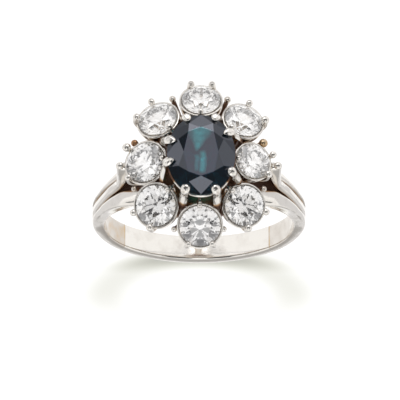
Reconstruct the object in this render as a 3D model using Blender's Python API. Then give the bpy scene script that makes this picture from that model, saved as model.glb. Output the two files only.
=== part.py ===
"""Sapphire and diamond cluster ring, lying on the back of its head and its palm.

Metres, +Z up. The ring is modelled in its own axes: the finger hole's centre is
the origin, the finger runs along Y, and the head stands along +Z. The empty
ring_axes then lays the whole ring down as it rests by itself on a table.
"""
import bpy
import bmesh
from math import atan2, cos, pi, radians, sin, sqrt, tan
from mathutils import Matrix, Vector

# Shank
FINGER_RADIUS = 0.0085
PALM_THICKNESS = 0.0014
PALM_WIDTH = 0.00230
INNER_EDGE_ROUNDING = 0.00012
OUTER_EDGE_ROUNDING = 0.00030
TROUGH_FLOOR = 0.0007
GROOVE_WIDTH = 0.00008
TROUGH_OFFSET = 0.00013
INNER_SPREAD_SHARE = 0.25
LIP_SHARE = 0.02
LIP_DROP_SHARE = 0.5

# Raised middle strand of each shoulder, and the arm that carries it on up
STRAND_WIDTH = 0.00096
STRAND_THICKNESS = 0.00080
ARM_THICKNESS = 0.00096
ARM_OVERLAP = 0.00020
ARM_DROP = 0.00040
ARM_BALL_RADIUS = 0.00036
ARM_BALL_INSET_SHARE = 0.9
ARM_BALL_RISE_SHARE = 0.3
BAR_ROUNDING_SHARE = 0.28

# Cluster of eight cups
CUP_RING_HALF_WIDTH = 0.00467
CUP_RING_HALF_LENGTH = 0.00578
CUP_RING_HEIGHT = 0.01410
CUP_TILT = radians(25.0)
CUP_RIM_RADIUS = 0.00195
CUP_FOOT_RADIUS = 0.00090
CUP_DEPTH = 0.00440

# Round diamonds and their clearance to the cups
DIAMOND_RADIUS = 0.00171
DIAMOND_CROWN = 0.00052
DIAMOND_PAVILION = 0.00152
DIAMOND_GIRDLE = 0.00010
STONE_CLEARANCE = 0.00006
SEAT_FLOOR_SHARE = 0.12

# Oval sapphire
SAPPHIRE_HALF_WIDTH = 0.00296
SAPPHIRE_HALF_LENGTH = 0.00363
SAPPHIRE_RISE = 0.00210
SAPPHIRE_HEIGHT = CUP_RING_HEIGHT + SAPPHIRE_RISE
SAPPHIRE_ACROSS = 0.00018
SAPPHIRE_CROWN = 0.00074
SAPPHIRE_PAVILION = 0.00250
SAPPHIRE_GIRDLE = 0.00020

# Prongs, claws, posts and rails
PRONG_WIRE_RADIUS = 0.00020
PRONG_BALL_RADIUS = 0.00031
PRONG_ROOT_DEPTH_SHARE = 0.45
PRONG_BEND_DEPTH_SHARE = 0.12
PRONG_BEND_OUTSET_SHARE = 0.6
CLAW_WIDTH = 0.00078
CLAW_THICKNESS = 0.00040
CLAW_TIP_WIDTH_SHARE = 0.72
CLAW_TIP_THICKNESS_SHARE = 0.85
CLAW_GAP_OUTSET = 0.00094
CLAW_GAP_DROP = 0.00168
POST_WIRE_RADIUS = 0.00018
POST_BALL_RADIUS = 0.00024
POST_REACH = 0.00129
POST_REACH_ALONG = 0.00042
SEAT_RAIL_RADIUS = 0.00017
SEAT_RAIL_OUTSET = 0.00003
SEAT_RAIL_DROP = 0.00060
BASE_RAIL_WIDTH = 0.00090
BASE_RAIL_DEPTH = 0.00110
BASE_RAIL_SINK = 0.00011
BASE_RAIL_SHOULDER_SHARE = 0.6

# Numbers of sides and stations on the round pieces
SHANK_STATIONS = 56
CUP_SIDES = 20
WIRE_SIDES = 6
BALL_SEGMENTS = 8
BALL_RINGS = 5
RAIL_STATIONS = 32
STRAND_STEPS = 12
CLAW_STEPS = 1

# Shank sections by elevation above the side of the finger hole, in degrees.
# Thickness is a share of PALM_THICKNESS; width and how far the section's middle is
# moved towards the front are shares of PALM_WIDTH; trough says how far the trough
# between the outer strands has opened.
SHANK_COLUMNS = ("elevation", "thickness", "width", "forward", "trough")
SHANK_ROWS = (
    (-90.0, 1.00, 1.00, 0.075, 0.0),
    (-45.0, 0.86, 0.96, 0.060, 0.0),
    (-10.0, 0.79, 0.87, 0.015, 0.0),
    (0.0, 0.79, 0.88, 0.000, 0.0),
    (9.0, 0.79, 0.94, 0.000, 0.8),
    (18.5, 0.80, 1.02, 0.000, 1.0),
    (30.0, 0.98, 1.14, 0.015, 1.0),
    (43.0, 1.34, 1.39, 0.040, 1.0),
    (52.0, 1.62, 1.63, 0.055, 1.0),
    (62.0, 1.62, 1.86, 0.060, 1.0),
    (75.0, 1.20, 2.03, 0.075, 0.3),
    (90.0, 1.05, 2.08, 0.080, 0.0),
)

# Outer strand of a shoulder in section: share of the way from the trough's lip to
# the strand's side, and drop from its crest as a share of OUTER_EDGE_ROUNDING.
OUTER_STRAND_ROWS = (
    (0.22, 0.00),
    (0.55, 0.00),
    (0.88, 0.33),
    (1.00, 1.00),
)

# Outer face of the middle strand and its arm. Up is a share of the arm's height
# and across a share of the way from the side of the shank in to the arm.
STRAND_COLUMNS = ("up", "across", "thickness", "width")
STRAND_ROWS = (
    (0.010, 0.060, 0.80, 0.90),
    (0.060, 0.010, 0.90, 1.00),
    (0.146, 0.078, 0.95, 1.00),
    (0.232, 0.190, 1.00, 1.00),
    (0.382, 0.430, 1.00, 1.00),
    (0.500, 0.635, 1.05, 1.00),
    (0.600, 0.850, 1.10, 1.00),
    (0.670, 0.965, 1.15, 0.97),
    (0.760, 1.000, 1.25, 0.92),
    (0.900, 1.000, 1.45, 0.80),
    (1.000, 1.000, 1.60, 0.70),
)

# Cups of the diamonds, anticlockwise from the right side. Across and along are
# shares of the cup ring's half width and half length, size scales the whole cup.
CUP_ROWS = (
    (1.01, 0.03, 0.91),
    (0.83, 0.68, 0.98),
    (0.04, 1.01, 0.98),
    (-0.77, 0.70, 1.00),
    (-1.00, 0.01, 1.04),
    (-0.80, -0.68, 1.04),
    (0.02, -1.00, 1.03),
    (0.84, -0.68, 1.01),
)

# Prongs of each cup in the same order: turn from the outward direction in degrees,
# distance of the tip from the cup's axis as a share of the diamond's radius, and
# size as a share of PRONG_BALL_RADIUS.
PRONG_ROWS = (
    ((22.0, 1.30, 1.00), (-45.0, 1.10, 1.10), (180.0, 1.04, 0.75)),
    ((28.0, 1.04, 1.00), (-44.0, 1.10, 1.20), (180.0, 1.04, 0.80)),
    ((-31.0, 1.05, 1.00), (32.0, 1.05, 1.00), (180.0, 1.04, 0.75)),
    ((-24.0, 1.06, 1.00), (43.0, 1.05, 1.10), (180.0, 1.04, 0.80)),
    ((-42.0, 1.28, 1.25), (44.0, 1.09, 1.00), (180.0, 1.04, 0.85)),
    ((-32.0, 1.12, 1.00), (29.0, 1.07, 1.10), (180.0, 1.04, 0.75)),
    ((-34.0, 1.04, 0.85), (34.0, 1.04, 0.85), (180.0, 1.04, 0.75)),
    ((-35.0, 1.12, 1.10), (32.0, 1.12, 1.00), (180.0, 1.04, 0.80)),
)

# Outer wall of a cup: depth below the girdle plane as a share of CUP_DEPTH, and
# how far the wall has flared from the foot's radius out to the rim's.
CUP_WALL_COLUMNS = ("depth", "flare")
CUP_WALL_ROWS = (
    (0.03, 1.00),
    (0.08, 1.00),
    (0.25, 0.84),
    (0.70, 0.24),
    (1.00, 0.00),
)

# Claws of the sapphire: root is where each one leaves its gap between two cups
# and tip where it crosses the girdle, as angles round the oval, in degrees.
CLAW_ROWS = (
    (26.0, 33.0),
    (66.0, 65.0),
    (114.0, 115.0),
    (154.0, 160.0),
    (206.0, 192.0),
    (244.6, 243.0),
    (291.6, 295.5),
    (334.0, 333.0),
)

# Claw from its foot on the base rail: shares of the leg up to its gap, then stops
# over the girdle. Outset and rise count in the standoff between claw and girdle,
# and rise is measured from the girdle's edge or from the slope of the crown.
CLAW_LEG_SHARES = (0.15, 0.60, 1.00)
CLAW_HEAD_ROWS = (
    (1.05, -2.30),
    (1.10, 0.30),
    (-0.30, 1.17),
    (-1.60, 1.10),
)

# Posts in the outer gaps between cups: angle round the cup ring in degrees, and
# reach as a share of POST_REACH and POST_REACH_ALONG
POST_ROWS = (
    (20.0, 1.0),
    (69.5, 1.9),
    (109.0, 1.9),
    (160.0, 1.0),
    (200.0, 1.0),
    (249.0, 1.0),
    (291.0, 1.0),
    (340.0, 1.0),
)

# Facet layout of a cut: table corners as shares of the girdle's half sizes, then
# the girdle angle of the four corner facets and the sides of each half facet.
ROUND_CUT = {"table_side": (0.56, 0.0), "table_corner": (0.396, 0.396),
             "table_end": (0.0, 0.56), "corner_angle": 45.0, "girdle_steps": 2}
OVAL_CUT = {"table_side": (0.50, 0.0), "table_corner": (0.37, 0.50),
            "table_end": (0.0, 0.61), "corner_angle": 38.0, "girdle_steps": 4}
STAR_HEIGHT_SHARE = 0.68
LOWER_DEPTH_SHARE = 0.78

X_AXIS = Vector((1.0, 0.0, 0.0))
Y_AXIS = Vector((0.0, 1.0, 0.0))
Z_AXIS = Vector((0.0, 0.0, 1.0))


def clear_scene():
    for old in list(bpy.data.objects):
        bpy.data.objects.remove(old, do_unlink=True)


def table_value(rows, columns, name, position):
    """Smoothly read one column of a table whose first column rises."""
    column = columns.index(name)
    if position <= rows[0][0]:
        return rows[0][column]
    for low, high in zip(rows, rows[1:]):
        if position <= high[0]:
            share = (position - low[0]) / (high[0] - low[0])
            slope_in = row_slope(rows, rows.index(low), column)
            slope_out = row_slope(rows, rows.index(high), column)
            span = high[0] - low[0]
            return hermite(low[column], high[column], slope_in * span, slope_out * span, share)
    return rows[-1][column]


def row_slope(rows, index, column):
    """Slope at one row, flat at a table's ends and at its turning points."""
    if index in (0, len(rows) - 1):
        return 0.0
    before, here, after = rows[index - 1], rows[index], rows[index + 1]
    rise_in = (here[column] - before[column]) / (here[0] - before[0])
    rise_out = (after[column] - here[column]) / (after[0] - here[0])
    if rise_in * rise_out <= 0.0:
        return 0.0
    return 2.0 * rise_in * rise_out / (rise_in + rise_out)


def hermite(start, end, slope_start, slope_end, share):
    square, cube = share ** 2, share ** 3
    return (start * (2 * cube - 3 * square + 1) + end * (3 * square - 2 * cube)
            + slope_start * (cube - 2 * square + share) + slope_end * (cube - square))


def smooth_path(points, steps):
    """Catmull-Rom points along a route, with the given steps for each leg."""
    padded = [2 * points[0] - points[1], *points, 2 * points[-1] - points[-2]]
    route = []
    for leg in range(len(points) - 1):
        before, start, end, after = padded[leg:leg + 4]
        for step in range(steps):
            share = step / steps
            route.append(Vector([
                hermite(start[axis], end[axis], (end[axis] - before[axis]) / 2,
                        (after[axis] - start[axis]) / 2, share)
                for axis in range(3)]))
    route.append(points[-1].copy())
    return route


def add_loft(bm, rings, closed=False):
    """Join rings of points into one closed skin, with caps on open ends."""
    rows = [[bm.verts.new(point) for point in ring] for ring in rings]
    count = len(rows[0])
    pairs = list(zip(rows, rows[1:]))
    if closed:
        pairs.append((rows[-1], rows[0]))
    faces = []
    for first, second in pairs:
        for corner in range(count):
            following = (corner + 1) % count
            faces.append(bm.faces.new(
                (first[corner], first[following], second[following], second[corner])))
    if not closed:
        faces.append(bm.faces.new(rows[0]))
        faces.append(bm.faces.new(rows[-1]))
    bmesh.ops.recalc_face_normals(bm, faces=faces)


def add_turned(bm, profile, sides, placement):
    """Turn a profile of (radius, height) about an axis and cap both its ends."""
    rings = []
    for radius, height in profile:
        rings.append([placement @ Vector((radius * cos(2 * pi * side / sides),
                                          radius * sin(2 * pi * side / sides), height))
                      for side in range(sides)])
    add_loft(bm, rings)


def add_ball(bm, centre, radius):
    bmesh.ops.create_uvsphere(bm, u_segments=BALL_SEGMENTS, v_segments=BALL_RINGS,
                              radius=radius, matrix=Matrix.Translation(centre))


def add_wire(bm, route, radius, sides=WIRE_SIDES):
    """Round wire along a route."""
    side = route[1] - route[0]
    side = side.orthogonal().normalized()
    rings = []
    for index, point in enumerate(route):
        before = route[max(index - 1, 0)]
        after = route[min(index + 1, len(route) - 1)]
        along = (after - before).normalized()
        side = (side - along * side.dot(along)).normalized()
        across = along.cross(side)
        rings.append([point + radius * (side * cos(2 * pi * turn / sides)
                                        + across * sin(2 * pi * turn / sides))
                      for turn in range(sides)])
    add_loft(bm, rings)


def add_bar(bm, route, across, widths, thicknesses, outward):
    """Flat bar with rounded edges; the route runs along the middle of its section."""
    rings = []
    for index, point in enumerate(route):
        before = route[max(index - 1, 0)]
        after = route[min(index + 1, len(route) - 1)]
        along = (after - before).normalized()
        face = across.cross(along).normalized()
        if face.dot(outward) < 0.0:
            face = -face
        half_width = widths[index] / 2
        half_depth = thicknesses[index] / 2
        bevel = BAR_ROUNDING_SHARE * min(widths[index], thicknesses[index])
        outline = ((-half_width, half_depth - bevel), (-half_width + bevel, half_depth),
                   (half_width - bevel, half_depth), (half_width, half_depth - bevel),
                   (half_width, bevel - half_depth), (half_width - bevel, -half_depth),
                   (-half_width + bevel, -half_depth), (-half_width, bevel - half_depth))
        rings.append([point + across * wide + face * deep for wide, deep in outline])
    add_loft(bm, rings)


def new_object(name, bm, material=None, helper=False):
    mesh = bpy.data.meshes.new(name)
    bm.to_mesh(mesh)
    bm.free()
    made = bpy.data.objects.new(name, mesh)
    bpy.context.scene.collection.objects.link(made)
    if material:
        mesh.materials.append(material)
    if helper:
        made.hide_render = True
        made.display_type = 'WIRE'
    return made


def new_material(name, colour, roughness, metallic, transmission=0.0, ior=1.45):
    material = bpy.data.materials.new(name)
    material.use_nodes = True
    shader = material.node_tree.nodes["Principled BSDF"]
    shader.inputs["Base Color"].default_value = (*colour, 1.0)
    shader.inputs["Roughness"].default_value = roughness
    shader.inputs["Metallic"].default_value = metallic
    shader.inputs["Transmission Weight"].default_value = transmission
    shader.inputs["IOR"].default_value = ior
    return material


# Shank

def shank_section(angle):
    """One section of the shank, as points across its width, at an angle in degrees."""
    elevation = angle if angle <= 90.0 else 180.0 - angle
    thickness = PALM_THICKNESS * table_value(SHANK_ROWS, SHANK_COLUMNS, "thickness", elevation)
    half_width = PALM_WIDTH / 2 * table_value(SHANK_ROWS, SHANK_COLUMNS, "width", elevation)
    forward = PALM_WIDTH * table_value(SHANK_ROWS, SHANK_COLUMNS, "forward", elevation)
    trough = table_value(SHANK_ROWS, SHANK_COLUMNS, "trough", elevation)
    outer = FINGER_RADIUS + thickness
    floor = outer - trough * (thickness - TROUGH_FLOOR)
    lip = outer - trough * LIP_DROP_SHARE * OUTER_EDGE_ROUNDING
    inner_half = PALM_WIDTH / 2 + (half_width - PALM_WIDTH / 2) * INNER_SPREAD_SHARE
    outline = []
    for side in (1, -1):
        edge = STRAND_WIDTH / 2 + GROOVE_WIDTH + side * TROUGH_OFFSET
        shelf = half_width - side * forward - edge
        half = [(edge, floor), (edge + LIP_SHARE * shelf, lip)]
        half += [(edge + share * shelf, outer - drop * OUTER_EDGE_ROUNDING)
                 for share, drop in OUTER_STRAND_ROWS]
        half += [(inner_half - side * forward, FINGER_RADIUS + INNER_EDGE_ROUNDING),
                 (inner_half - side * forward - INNER_EDGE_ROUNDING, FINGER_RADIUS)]
        outline += [(side * across, radius) for across, radius in half[::side]]
    direction = X_AXIS * cos(radians(angle)) + Z_AXIS * sin(radians(angle))
    return [Y_AXIS * across + direction * radius for across, radius in outline]


def make_shank(material):
    bm = bmesh.new()
    step = 360.0 / SHANK_STATIONS
    add_loft(bm, [shank_section(-90.0 + step * station) for station in range(SHANK_STATIONS)],
             closed=True)
    return new_object("mount", bm, material)


def arm_top():
    """Outer face of the arm beside the rim of the side cup."""
    reach = CUP_RING_HALF_WIDTH + CUP_RIM_RADIUS * cos(CUP_TILT)
    height = CUP_RING_HEIGHT - CUP_RIM_RADIUS * sin(CUP_TILT) - ARM_DROP
    return reach + ARM_THICKNESS - ARM_OVERLAP, height


def strand_route(side):
    """Outer face of the middle strand from the side of the shank up to the cup."""
    side_radius = FINGER_RADIUS + PALM_THICKNESS * table_value(
        SHANK_ROWS, SHANK_COLUMNS, "thickness", 0.0)
    arm_reach, arm_height = arm_top()
    rows = []
    for step in range(STRAND_STEPS + 1):
        up = STRAND_ROWS[0][0] + (1.0 - STRAND_ROWS[0][0]) * step / STRAND_STEPS
        across = table_value(STRAND_ROWS, STRAND_COLUMNS, "across", up)
        reach = side_radius - across * (side_radius - arm_reach)
        rows.append((Vector((side * reach, TROUGH_OFFSET, up * arm_height)),
                     STRAND_WIDTH * table_value(STRAND_ROWS, STRAND_COLUMNS, "width", up),
                     STRAND_THICKNESS
                     * table_value(STRAND_ROWS, STRAND_COLUMNS, "thickness", up)))
    return rows


def add_strands(bm):
    for side in (1, -1):
        rows = strand_route(side)
        middle = []
        for index, (point, width, thickness) in enumerate(rows):
            before = rows[max(index - 1, 0)][0]
            after = rows[min(index + 1, len(rows) - 1)][0]
            along = (after - before).normalized()
            inward = Y_AXIS.cross(along).normalized()
            if inward.dot(X_AXIS) * side > 0.0:
                inward = -inward
            middle.append(point + inward * thickness / 2)
        add_bar(bm, middle, Y_AXIS, [row[1] for row in rows], [row[2] for row in rows],
                X_AXIS * side)
        top = rows[-1][0]
        inset = X_AXIS * side * ARM_BALL_INSET_SHARE * ARM_BALL_RADIUS
        rise = Z_AXIS * ARM_BALL_RISE_SHARE * ARM_BALL_RADIUS
        add_ball(bm, top - inset + rise, ARM_BALL_RADIUS)


# Cups and their prongs

def cup_places():
    """Centre, outward plan direction and size of each cup, from the right side round."""
    places = []
    for across, along, size in CUP_ROWS:
        centre = Vector((across * CUP_RING_HALF_WIDTH, along * CUP_RING_HALF_LENGTH,
                         CUP_RING_HEIGHT))
        places.append((centre, Vector((centre.x, centre.y, 0.0)).normalized(), size))
    return places


def cup_matrix(centre, outward, size):
    """Local Z is the cup's axis and local X points outward and down its tilted rim."""
    axis = Z_AXIS * cos(CUP_TILT) + outward * sin(CUP_TILT)
    downhill = outward * cos(CUP_TILT) - Z_AXIS * sin(CUP_TILT)
    turn = Matrix((downhill, axis.cross(downhill), axis)).transposed().to_4x4()
    return Matrix.Translation(centre) @ turn @ Matrix.Scale(size, 4)


def cup_radius(depth):
    """Outer radius of a cup at a share of its depth."""
    flare = table_value(CUP_WALL_ROWS, CUP_WALL_COLUMNS, "flare", depth)
    return CUP_FOOT_RADIUS + flare * (CUP_RIM_RADIUS - CUP_FOOT_RADIUS)


def cup_profile():
    return [(cup_radius(depth), -depth * CUP_DEPTH) for depth, flare in reversed(CUP_WALL_ROWS)]


def seat_profile():
    """Hollow for one diamond: the stone's underside moved out by the clearance."""
    slope = DIAMOND_PAVILION / DIAMOND_RADIUS
    wall = DIAMOND_RADIUS + STONE_CLEARANCE
    spread = STONE_CLEARANCE * sqrt(1.0 + 1.0 / slope ** 2)
    cone_top = -DIAMOND_GIRDLE / 2 - (DIAMOND_RADIUS + spread - wall) * slope
    floor_radius = SEAT_FLOOR_SHARE * DIAMOND_RADIUS
    return ((floor_radius, cone_top - (wall - floor_radius) * slope),
            (wall, cone_top),
            (wall, DIAMOND_CROWN / 2))


def add_prong(bm_wires, bm_balls, placement, turn, tip_share, ball_radius):
    """One prong, up the outside of the cup and over the girdle, with a ball tip."""
    outside = DIAMOND_RADIUS + 2 * STONE_CLEARANCE + PRONG_WIRE_RADIUS
    table_reach = ROUND_CUT["table_side"][0] * DIAMOND_RADIUS
    crown_slope = atan2(DIAMOND_CROWN, DIAMOND_RADIUS - table_reach)
    tip = tip_share * DIAMOND_RADIUS
    lift = (DIAMOND_GIRDLE / 2 - (tip - DIAMOND_RADIUS) * tan(crown_slope)
            + (ball_radius + STONE_CLEARANCE) / cos(crown_slope))
    lift = max(lift, ball_radius / 2)
    root_radius = cup_radius(PRONG_ROOT_DEPTH_SHARE)
    bend_radius = (cup_radius(PRONG_BEND_DEPTH_SHARE)
                   + PRONG_BEND_OUTSET_SHARE * PRONG_WIRE_RADIUS)
    stops = ((root_radius, -PRONG_ROOT_DEPTH_SHARE * CUP_DEPTH),
             (bend_radius, -PRONG_BEND_DEPTH_SHARE * CUP_DEPTH),
             (outside + max(tip - outside, 0.0) / 2, DIAMOND_GIRDLE / 2),
             (tip, lift))
    route = [placement @ Vector((radius * cos(turn), radius * sin(turn), height))
             for radius, height in stops]
    add_wire(bm_wires, route, PRONG_WIRE_RADIUS)
    add_ball(bm_balls, route[-1], ball_radius)


def add_cups(bm_cups, bm_wires, bm_balls):
    for place, prongs in zip(cup_places(), PRONG_ROWS):
        placement = cup_matrix(*place)
        add_turned(bm_cups, cup_profile(), CUP_SIDES, placement)
        for turn, tip_share, size in prongs:
            add_prong(bm_wires, bm_balls, placement, radians(turn), tip_share,
                      size * PRONG_BALL_RADIUS)


def add_seats(bm):
    for place in cup_places():
        add_turned(bm, seat_profile(), CUP_SIDES, cup_matrix(*place))


# Rails, posts and claws

def oval_point(half_width, half_length, height, angle):
    return Vector((half_width * cos(angle), half_length * sin(angle), height))


def girdle_point(outset, height, angle):
    """Point beside the sapphire's girdle, at an outset from its half sizes."""
    return X_AXIS * SAPPHIRE_ACROSS + oval_point(
        SAPPHIRE_HALF_WIDTH + outset, SAPPHIRE_HALF_LENGTH + outset, height, angle)


def oval_normal(half_width, half_length, angle):
    return Vector((cos(angle) / half_width, sin(angle) / half_length, 0.0)).normalized()


def foot_oval():
    """Half width and half length of the oval on which the cups' feet stand."""
    drift = CUP_DEPTH * sin(CUP_TILT)
    return CUP_RING_HALF_WIDTH - drift, CUP_RING_HALF_LENGTH - drift


def base_rail_height():
    return CUP_RING_HEIGHT - CUP_DEPTH * cos(CUP_TILT) - BASE_RAIL_SINK


def add_base_rail(bm):
    half_width, half_length = foot_oval()
    height = base_rail_height()
    rings = []
    for station in range(RAIL_STATIONS):
        angle = 2 * pi * station / RAIL_STATIONS
        point = oval_point(half_width, half_length, height, angle)
        normal = oval_normal(half_width, half_length, angle)
        half, deep = BASE_RAIL_WIDTH / 2, BASE_RAIL_DEPTH / 2
        near = BASE_RAIL_SHOULDER_SHARE * half
        low = BASE_RAIL_SHOULDER_SHARE * deep
        rings.append([point + normal * out + Z_AXIS * up for out, up in
                      ((half, -deep), (half, low), (near, deep),
                       (-near, deep), (-half, low), (-half, -deep))])
    add_loft(bm, rings, closed=True)


def add_seat_rail(bm):
    """Thin oval rail just under the sapphire's girdle."""
    height = SAPPHIRE_HEIGHT - SEAT_RAIL_DROP
    rings = []
    for station in range(RAIL_STATIONS):
        angle = 2 * pi * station / RAIL_STATIONS
        point = girdle_point(SEAT_RAIL_OUTSET, height, angle)
        normal = oval_normal(SAPPHIRE_HALF_WIDTH, SAPPHIRE_HALF_LENGTH, angle)
        rings.append([point + SEAT_RAIL_RADIUS * (normal * cos(turn) + Z_AXIS * sin(turn))
                      for turn in (pi * corner / 3 for corner in range(6))])
    add_loft(bm, rings, closed=True)


def add_claw(bm, root_angle, tip_angle):
    """Flat claw from the base rail, out through its gap and over the girdle."""
    half_width, half_length = foot_oval()
    foot = oval_point(half_width, half_length, base_rail_height(), root_angle)
    girdle = girdle_point(0.0, SAPPHIRE_HEIGHT + SAPPHIRE_GIRDLE / 2, tip_angle)
    normal = oval_normal(SAPPHIRE_HALF_WIDTH, SAPPHIRE_HALF_LENGTH, tip_angle)
    table_reach = OVAL_CUT["table_side"][0] * SAPPHIRE_HALF_WIDTH
    slope = SAPPHIRE_CROWN / (SAPPHIRE_HALF_WIDTH - table_reach)
    standoff = CLAW_THICKNESS / 2 + STONE_CLEARANCE
    gap = girdle_point(CLAW_GAP_OUTSET, SAPPHIRE_HEIGHT - CLAW_GAP_DROP, root_angle)
    stops = [foot.lerp(gap, share) for share in CLAW_LEG_SHARES]
    for outset, rise in CLAW_HEAD_ROWS:
        crown_height = max(-outset, 0.0) * slope
        stops.append(girdle + standoff * (normal * outset + Z_AXIS * (rise + crown_height)))
    route = smooth_path(stops, CLAW_STEPS)
    across = Z_AXIS.cross(normal)
    on_tip = len(CLAW_HEAD_ROWS[2:]) * CLAW_STEPS
    widths = [CLAW_WIDTH] * (len(route) - 1) + [CLAW_TIP_WIDTH_SHARE * CLAW_WIDTH]
    depths = [CLAW_THICKNESS] * (len(route) - on_tip)
    depths += [CLAW_TIP_THICKNESS_SHARE * CLAW_THICKNESS] * on_tip
    add_bar(bm, route, across, widths, depths, normal + Z_AXIS)


def add_claws(bm):
    for root, tip in CLAW_ROWS:
        add_claw(bm, radians(root), radians(tip))


def add_posts(bm_wires, bm_balls):
    """Thin posts that lean out through the outer gaps between the cups."""
    half_width, half_length = foot_oval()
    for degree, reach in POST_ROWS:
        angle = radians(degree)
        foot = oval_point(half_width, half_length, base_rail_height(), angle)
        top = oval_point(CUP_RING_HALF_WIDTH + reach * POST_REACH,
                         CUP_RING_HALF_LENGTH + reach * POST_REACH_ALONG,
                         CUP_RING_HEIGHT - CUP_RIM_RADIUS * sin(CUP_TILT), angle)
        add_wire(bm_wires, [foot, foot.lerp(top, 0.5), top], POST_WIRE_RADIUS)
        add_ball(bm_balls, top, POST_BALL_RADIUS)


# Cut stones

def plane_of(first, second, third):
    normal = (second - first).cross(third - first).normalized()
    return normal, normal.dot(first)


def height_on(plane, x, y):
    normal, offset = plane
    return (offset - normal.x * x - normal.y * y) / normal.z


def meeting_point(plane, other, height):
    """Where two sloping planes cross at a given height."""
    (first, first_offset), (second, second_offset) = plane, other
    first_rest = first_offset - first.z * height
    second_rest = second_offset - second.z * height
    scale = first.x * second.y - first.y * second.x
    return Vector(((first_rest * second.y - second_rest * first.y) / scale,
                   (first.x * second_rest - second.x * first_rest) / scale, height))


def brilliant_mesh(name, half_width, half_length, crown, pavilion, girdle, layout, material):
    """Brilliant cut in flat facets: table, 8 stars, 8 kites, 16 upper and 16 lower
    girdle facets and 8 pavilion mains, round a girdle scalloped by its facets."""
    corner = layout["corner_angle"]
    mains = [radians(angle) for angle in (0.0, corner, 90.0, 180.0 - corner, 180.0,
                                          180.0 + corner, 270.0, 360.0 - corner, 360.0)]
    shares = [layout["table_side"], layout["table_corner"], layout["table_end"]]
    quarter_signs = ((1, 1, 0), (1, 1, 1), (1, 1, 2), (-1, 1, 1), (-1, 1, 0),
                     (-1, -1, 1), (1, -1, 2), (1, -1, 1))
    top, bottom = girdle / 2, -girdle / 2
    steps = layout["girdle_steps"]
    bm = bmesh.new()

    def rim(angle, height):
        return Vector((half_width * cos(angle), half_length * sin(angle), height))

    def tangent(angle):
        return Vector((-half_width * sin(angle), half_length * cos(angle), 0.0))

    table = [Vector((across * shares[kind][0] * half_width, along * shares[kind][1] * half_length,
                     top + crown)) for across, along, kind in quarter_signs]
    culet = Vector((0.0, 0.0, bottom - pavilion))
    kites = [plane_of(rim(mains[k], top), rim(mains[k], top) + tangent(mains[k]), table[k])
             for k in range(8)]
    keels = [plane_of(rim(mains[k], bottom), rim(mains[k], bottom) + tangent(mains[k]), culet)
             for k in range(8)]
    stars = [meeting_point(kites[k], kites[(k + 1) % 8], top + STAR_HEIGHT_SHARE * crown)
             for k in range(8)]
    lowers = [meeting_point(keels[k], keels[(k + 1) % 8], bottom - LOWER_DEPTH_SHARE * pavilion)
              for k in range(8)]
    table_spots = [bm.verts.new(spot) for spot in table]
    star_spots = [bm.verts.new(spot) for spot in stars]
    lower_spots = [bm.verts.new(spot) for spot in lowers]
    culet_spot = bm.verts.new(culet)
    upper_rim = []
    lower_rim = []
    for k in range(8):
        middle = (mains[k] + mains[k + 1]) / 2
        for start, end in ((mains[k], middle), (middle, mains[k + 1])):
            upper = plane_of(rim(start, top), rim(end, top), stars[k])
            lower = plane_of(rim(start, bottom), rim(end, bottom), lowers[k])
            for step in range(steps):
                spot = rim(start + (end - start) * step / steps, 0.0)
                upper_rim.append(bm.verts.new((spot.x, spot.y, height_on(upper, spot.x, spot.y))))
                lower_rim.append(bm.verts.new((spot.x, spot.y, height_on(lower, spot.x, spot.y))))
    count = len(upper_rim)
    bm.faces.new(table_spots)
    for k in range(8):
        start, half_way, end = 2 * steps * k, 2 * steps * k + steps, 2 * steps * (k + 1)
        first = [number % count for number in range(start, half_way + 1)]
        second = [number % count for number in range(half_way, end + 1)]
        bm.faces.new((table_spots[k], star_spots[k], table_spots[(k + 1) % 8]))
        bm.faces.new((table_spots[k], star_spots[k - 1], upper_rim[start], star_spots[k]))
        bm.faces.new((culet_spot, lower_spots[k - 1], lower_rim[start], lower_spots[k]))
        for run in (first, second):
            bm.faces.new((star_spots[k], *(upper_rim[number] for number in run)))
            bm.faces.new((lower_spots[k], *(lower_rim[number] for number in run)))
    for number in range(count):
        following = (number + 1) % count
        bm.faces.new((upper_rim[number], upper_rim[following],
                      lower_rim[following], lower_rim[number]))
    bmesh.ops.recalc_face_normals(bm, faces=bm.faces)
    mesh = bpy.data.meshes.new(name)
    bm.to_mesh(mesh)
    bm.free()
    mesh.materials.append(material)
    return mesh


def place_stone(name, mesh, placement, parent):
    stone = bpy.data.objects.new(name, mesh)
    bpy.context.scene.collection.objects.link(stone)
    stone.parent = parent
    stone.matrix_local = placement
    return stone


# How the ring lies

def resting_edge(points):
    """The two points, in the side view, on which the back of the ring lies."""
    outline = []
    for spot in sorted((point.z, point.y) for point in points):
        while len(outline) > 1 and turns_left(outline[-2], outline[-1], spot):
            outline.pop()
        outline.append(spot)
    for low, high in zip(outline, outline[1:]):
        if low[0] <= 0.0 < high[0]:
            return low, high
    return outline[0], outline[-1]


def turns_left(first, second, third):
    return ((second[0] - first[0]) * (third[1] - first[1])
            - (second[1] - first[1]) * (third[0] - first[0])) >= 0.0


def resting_matrix(points):
    """Lay the ring on its back: its box's bottom centre becomes the origin."""
    low, high = resting_edge(points)
    tilt = atan2(high[1] - low[1], high[0] - low[0])
    along = Vector((0.0, -sin(tilt), -cos(tilt)))
    up = Vector((0.0, -cos(tilt), sin(tilt)))
    turn = Matrix((-X_AXIS, along, up)).to_4x4()
    turned = [turn @ point for point in points]
    middle = [(min(spot[axis] for spot in turned) + max(spot[axis] for spot in turned)) / 2
              for axis in range(2)]
    floor = min(spot.z for spot in turned)
    return Matrix.Translation((-middle[0], -middle[1], -floor)) @ turn


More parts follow.
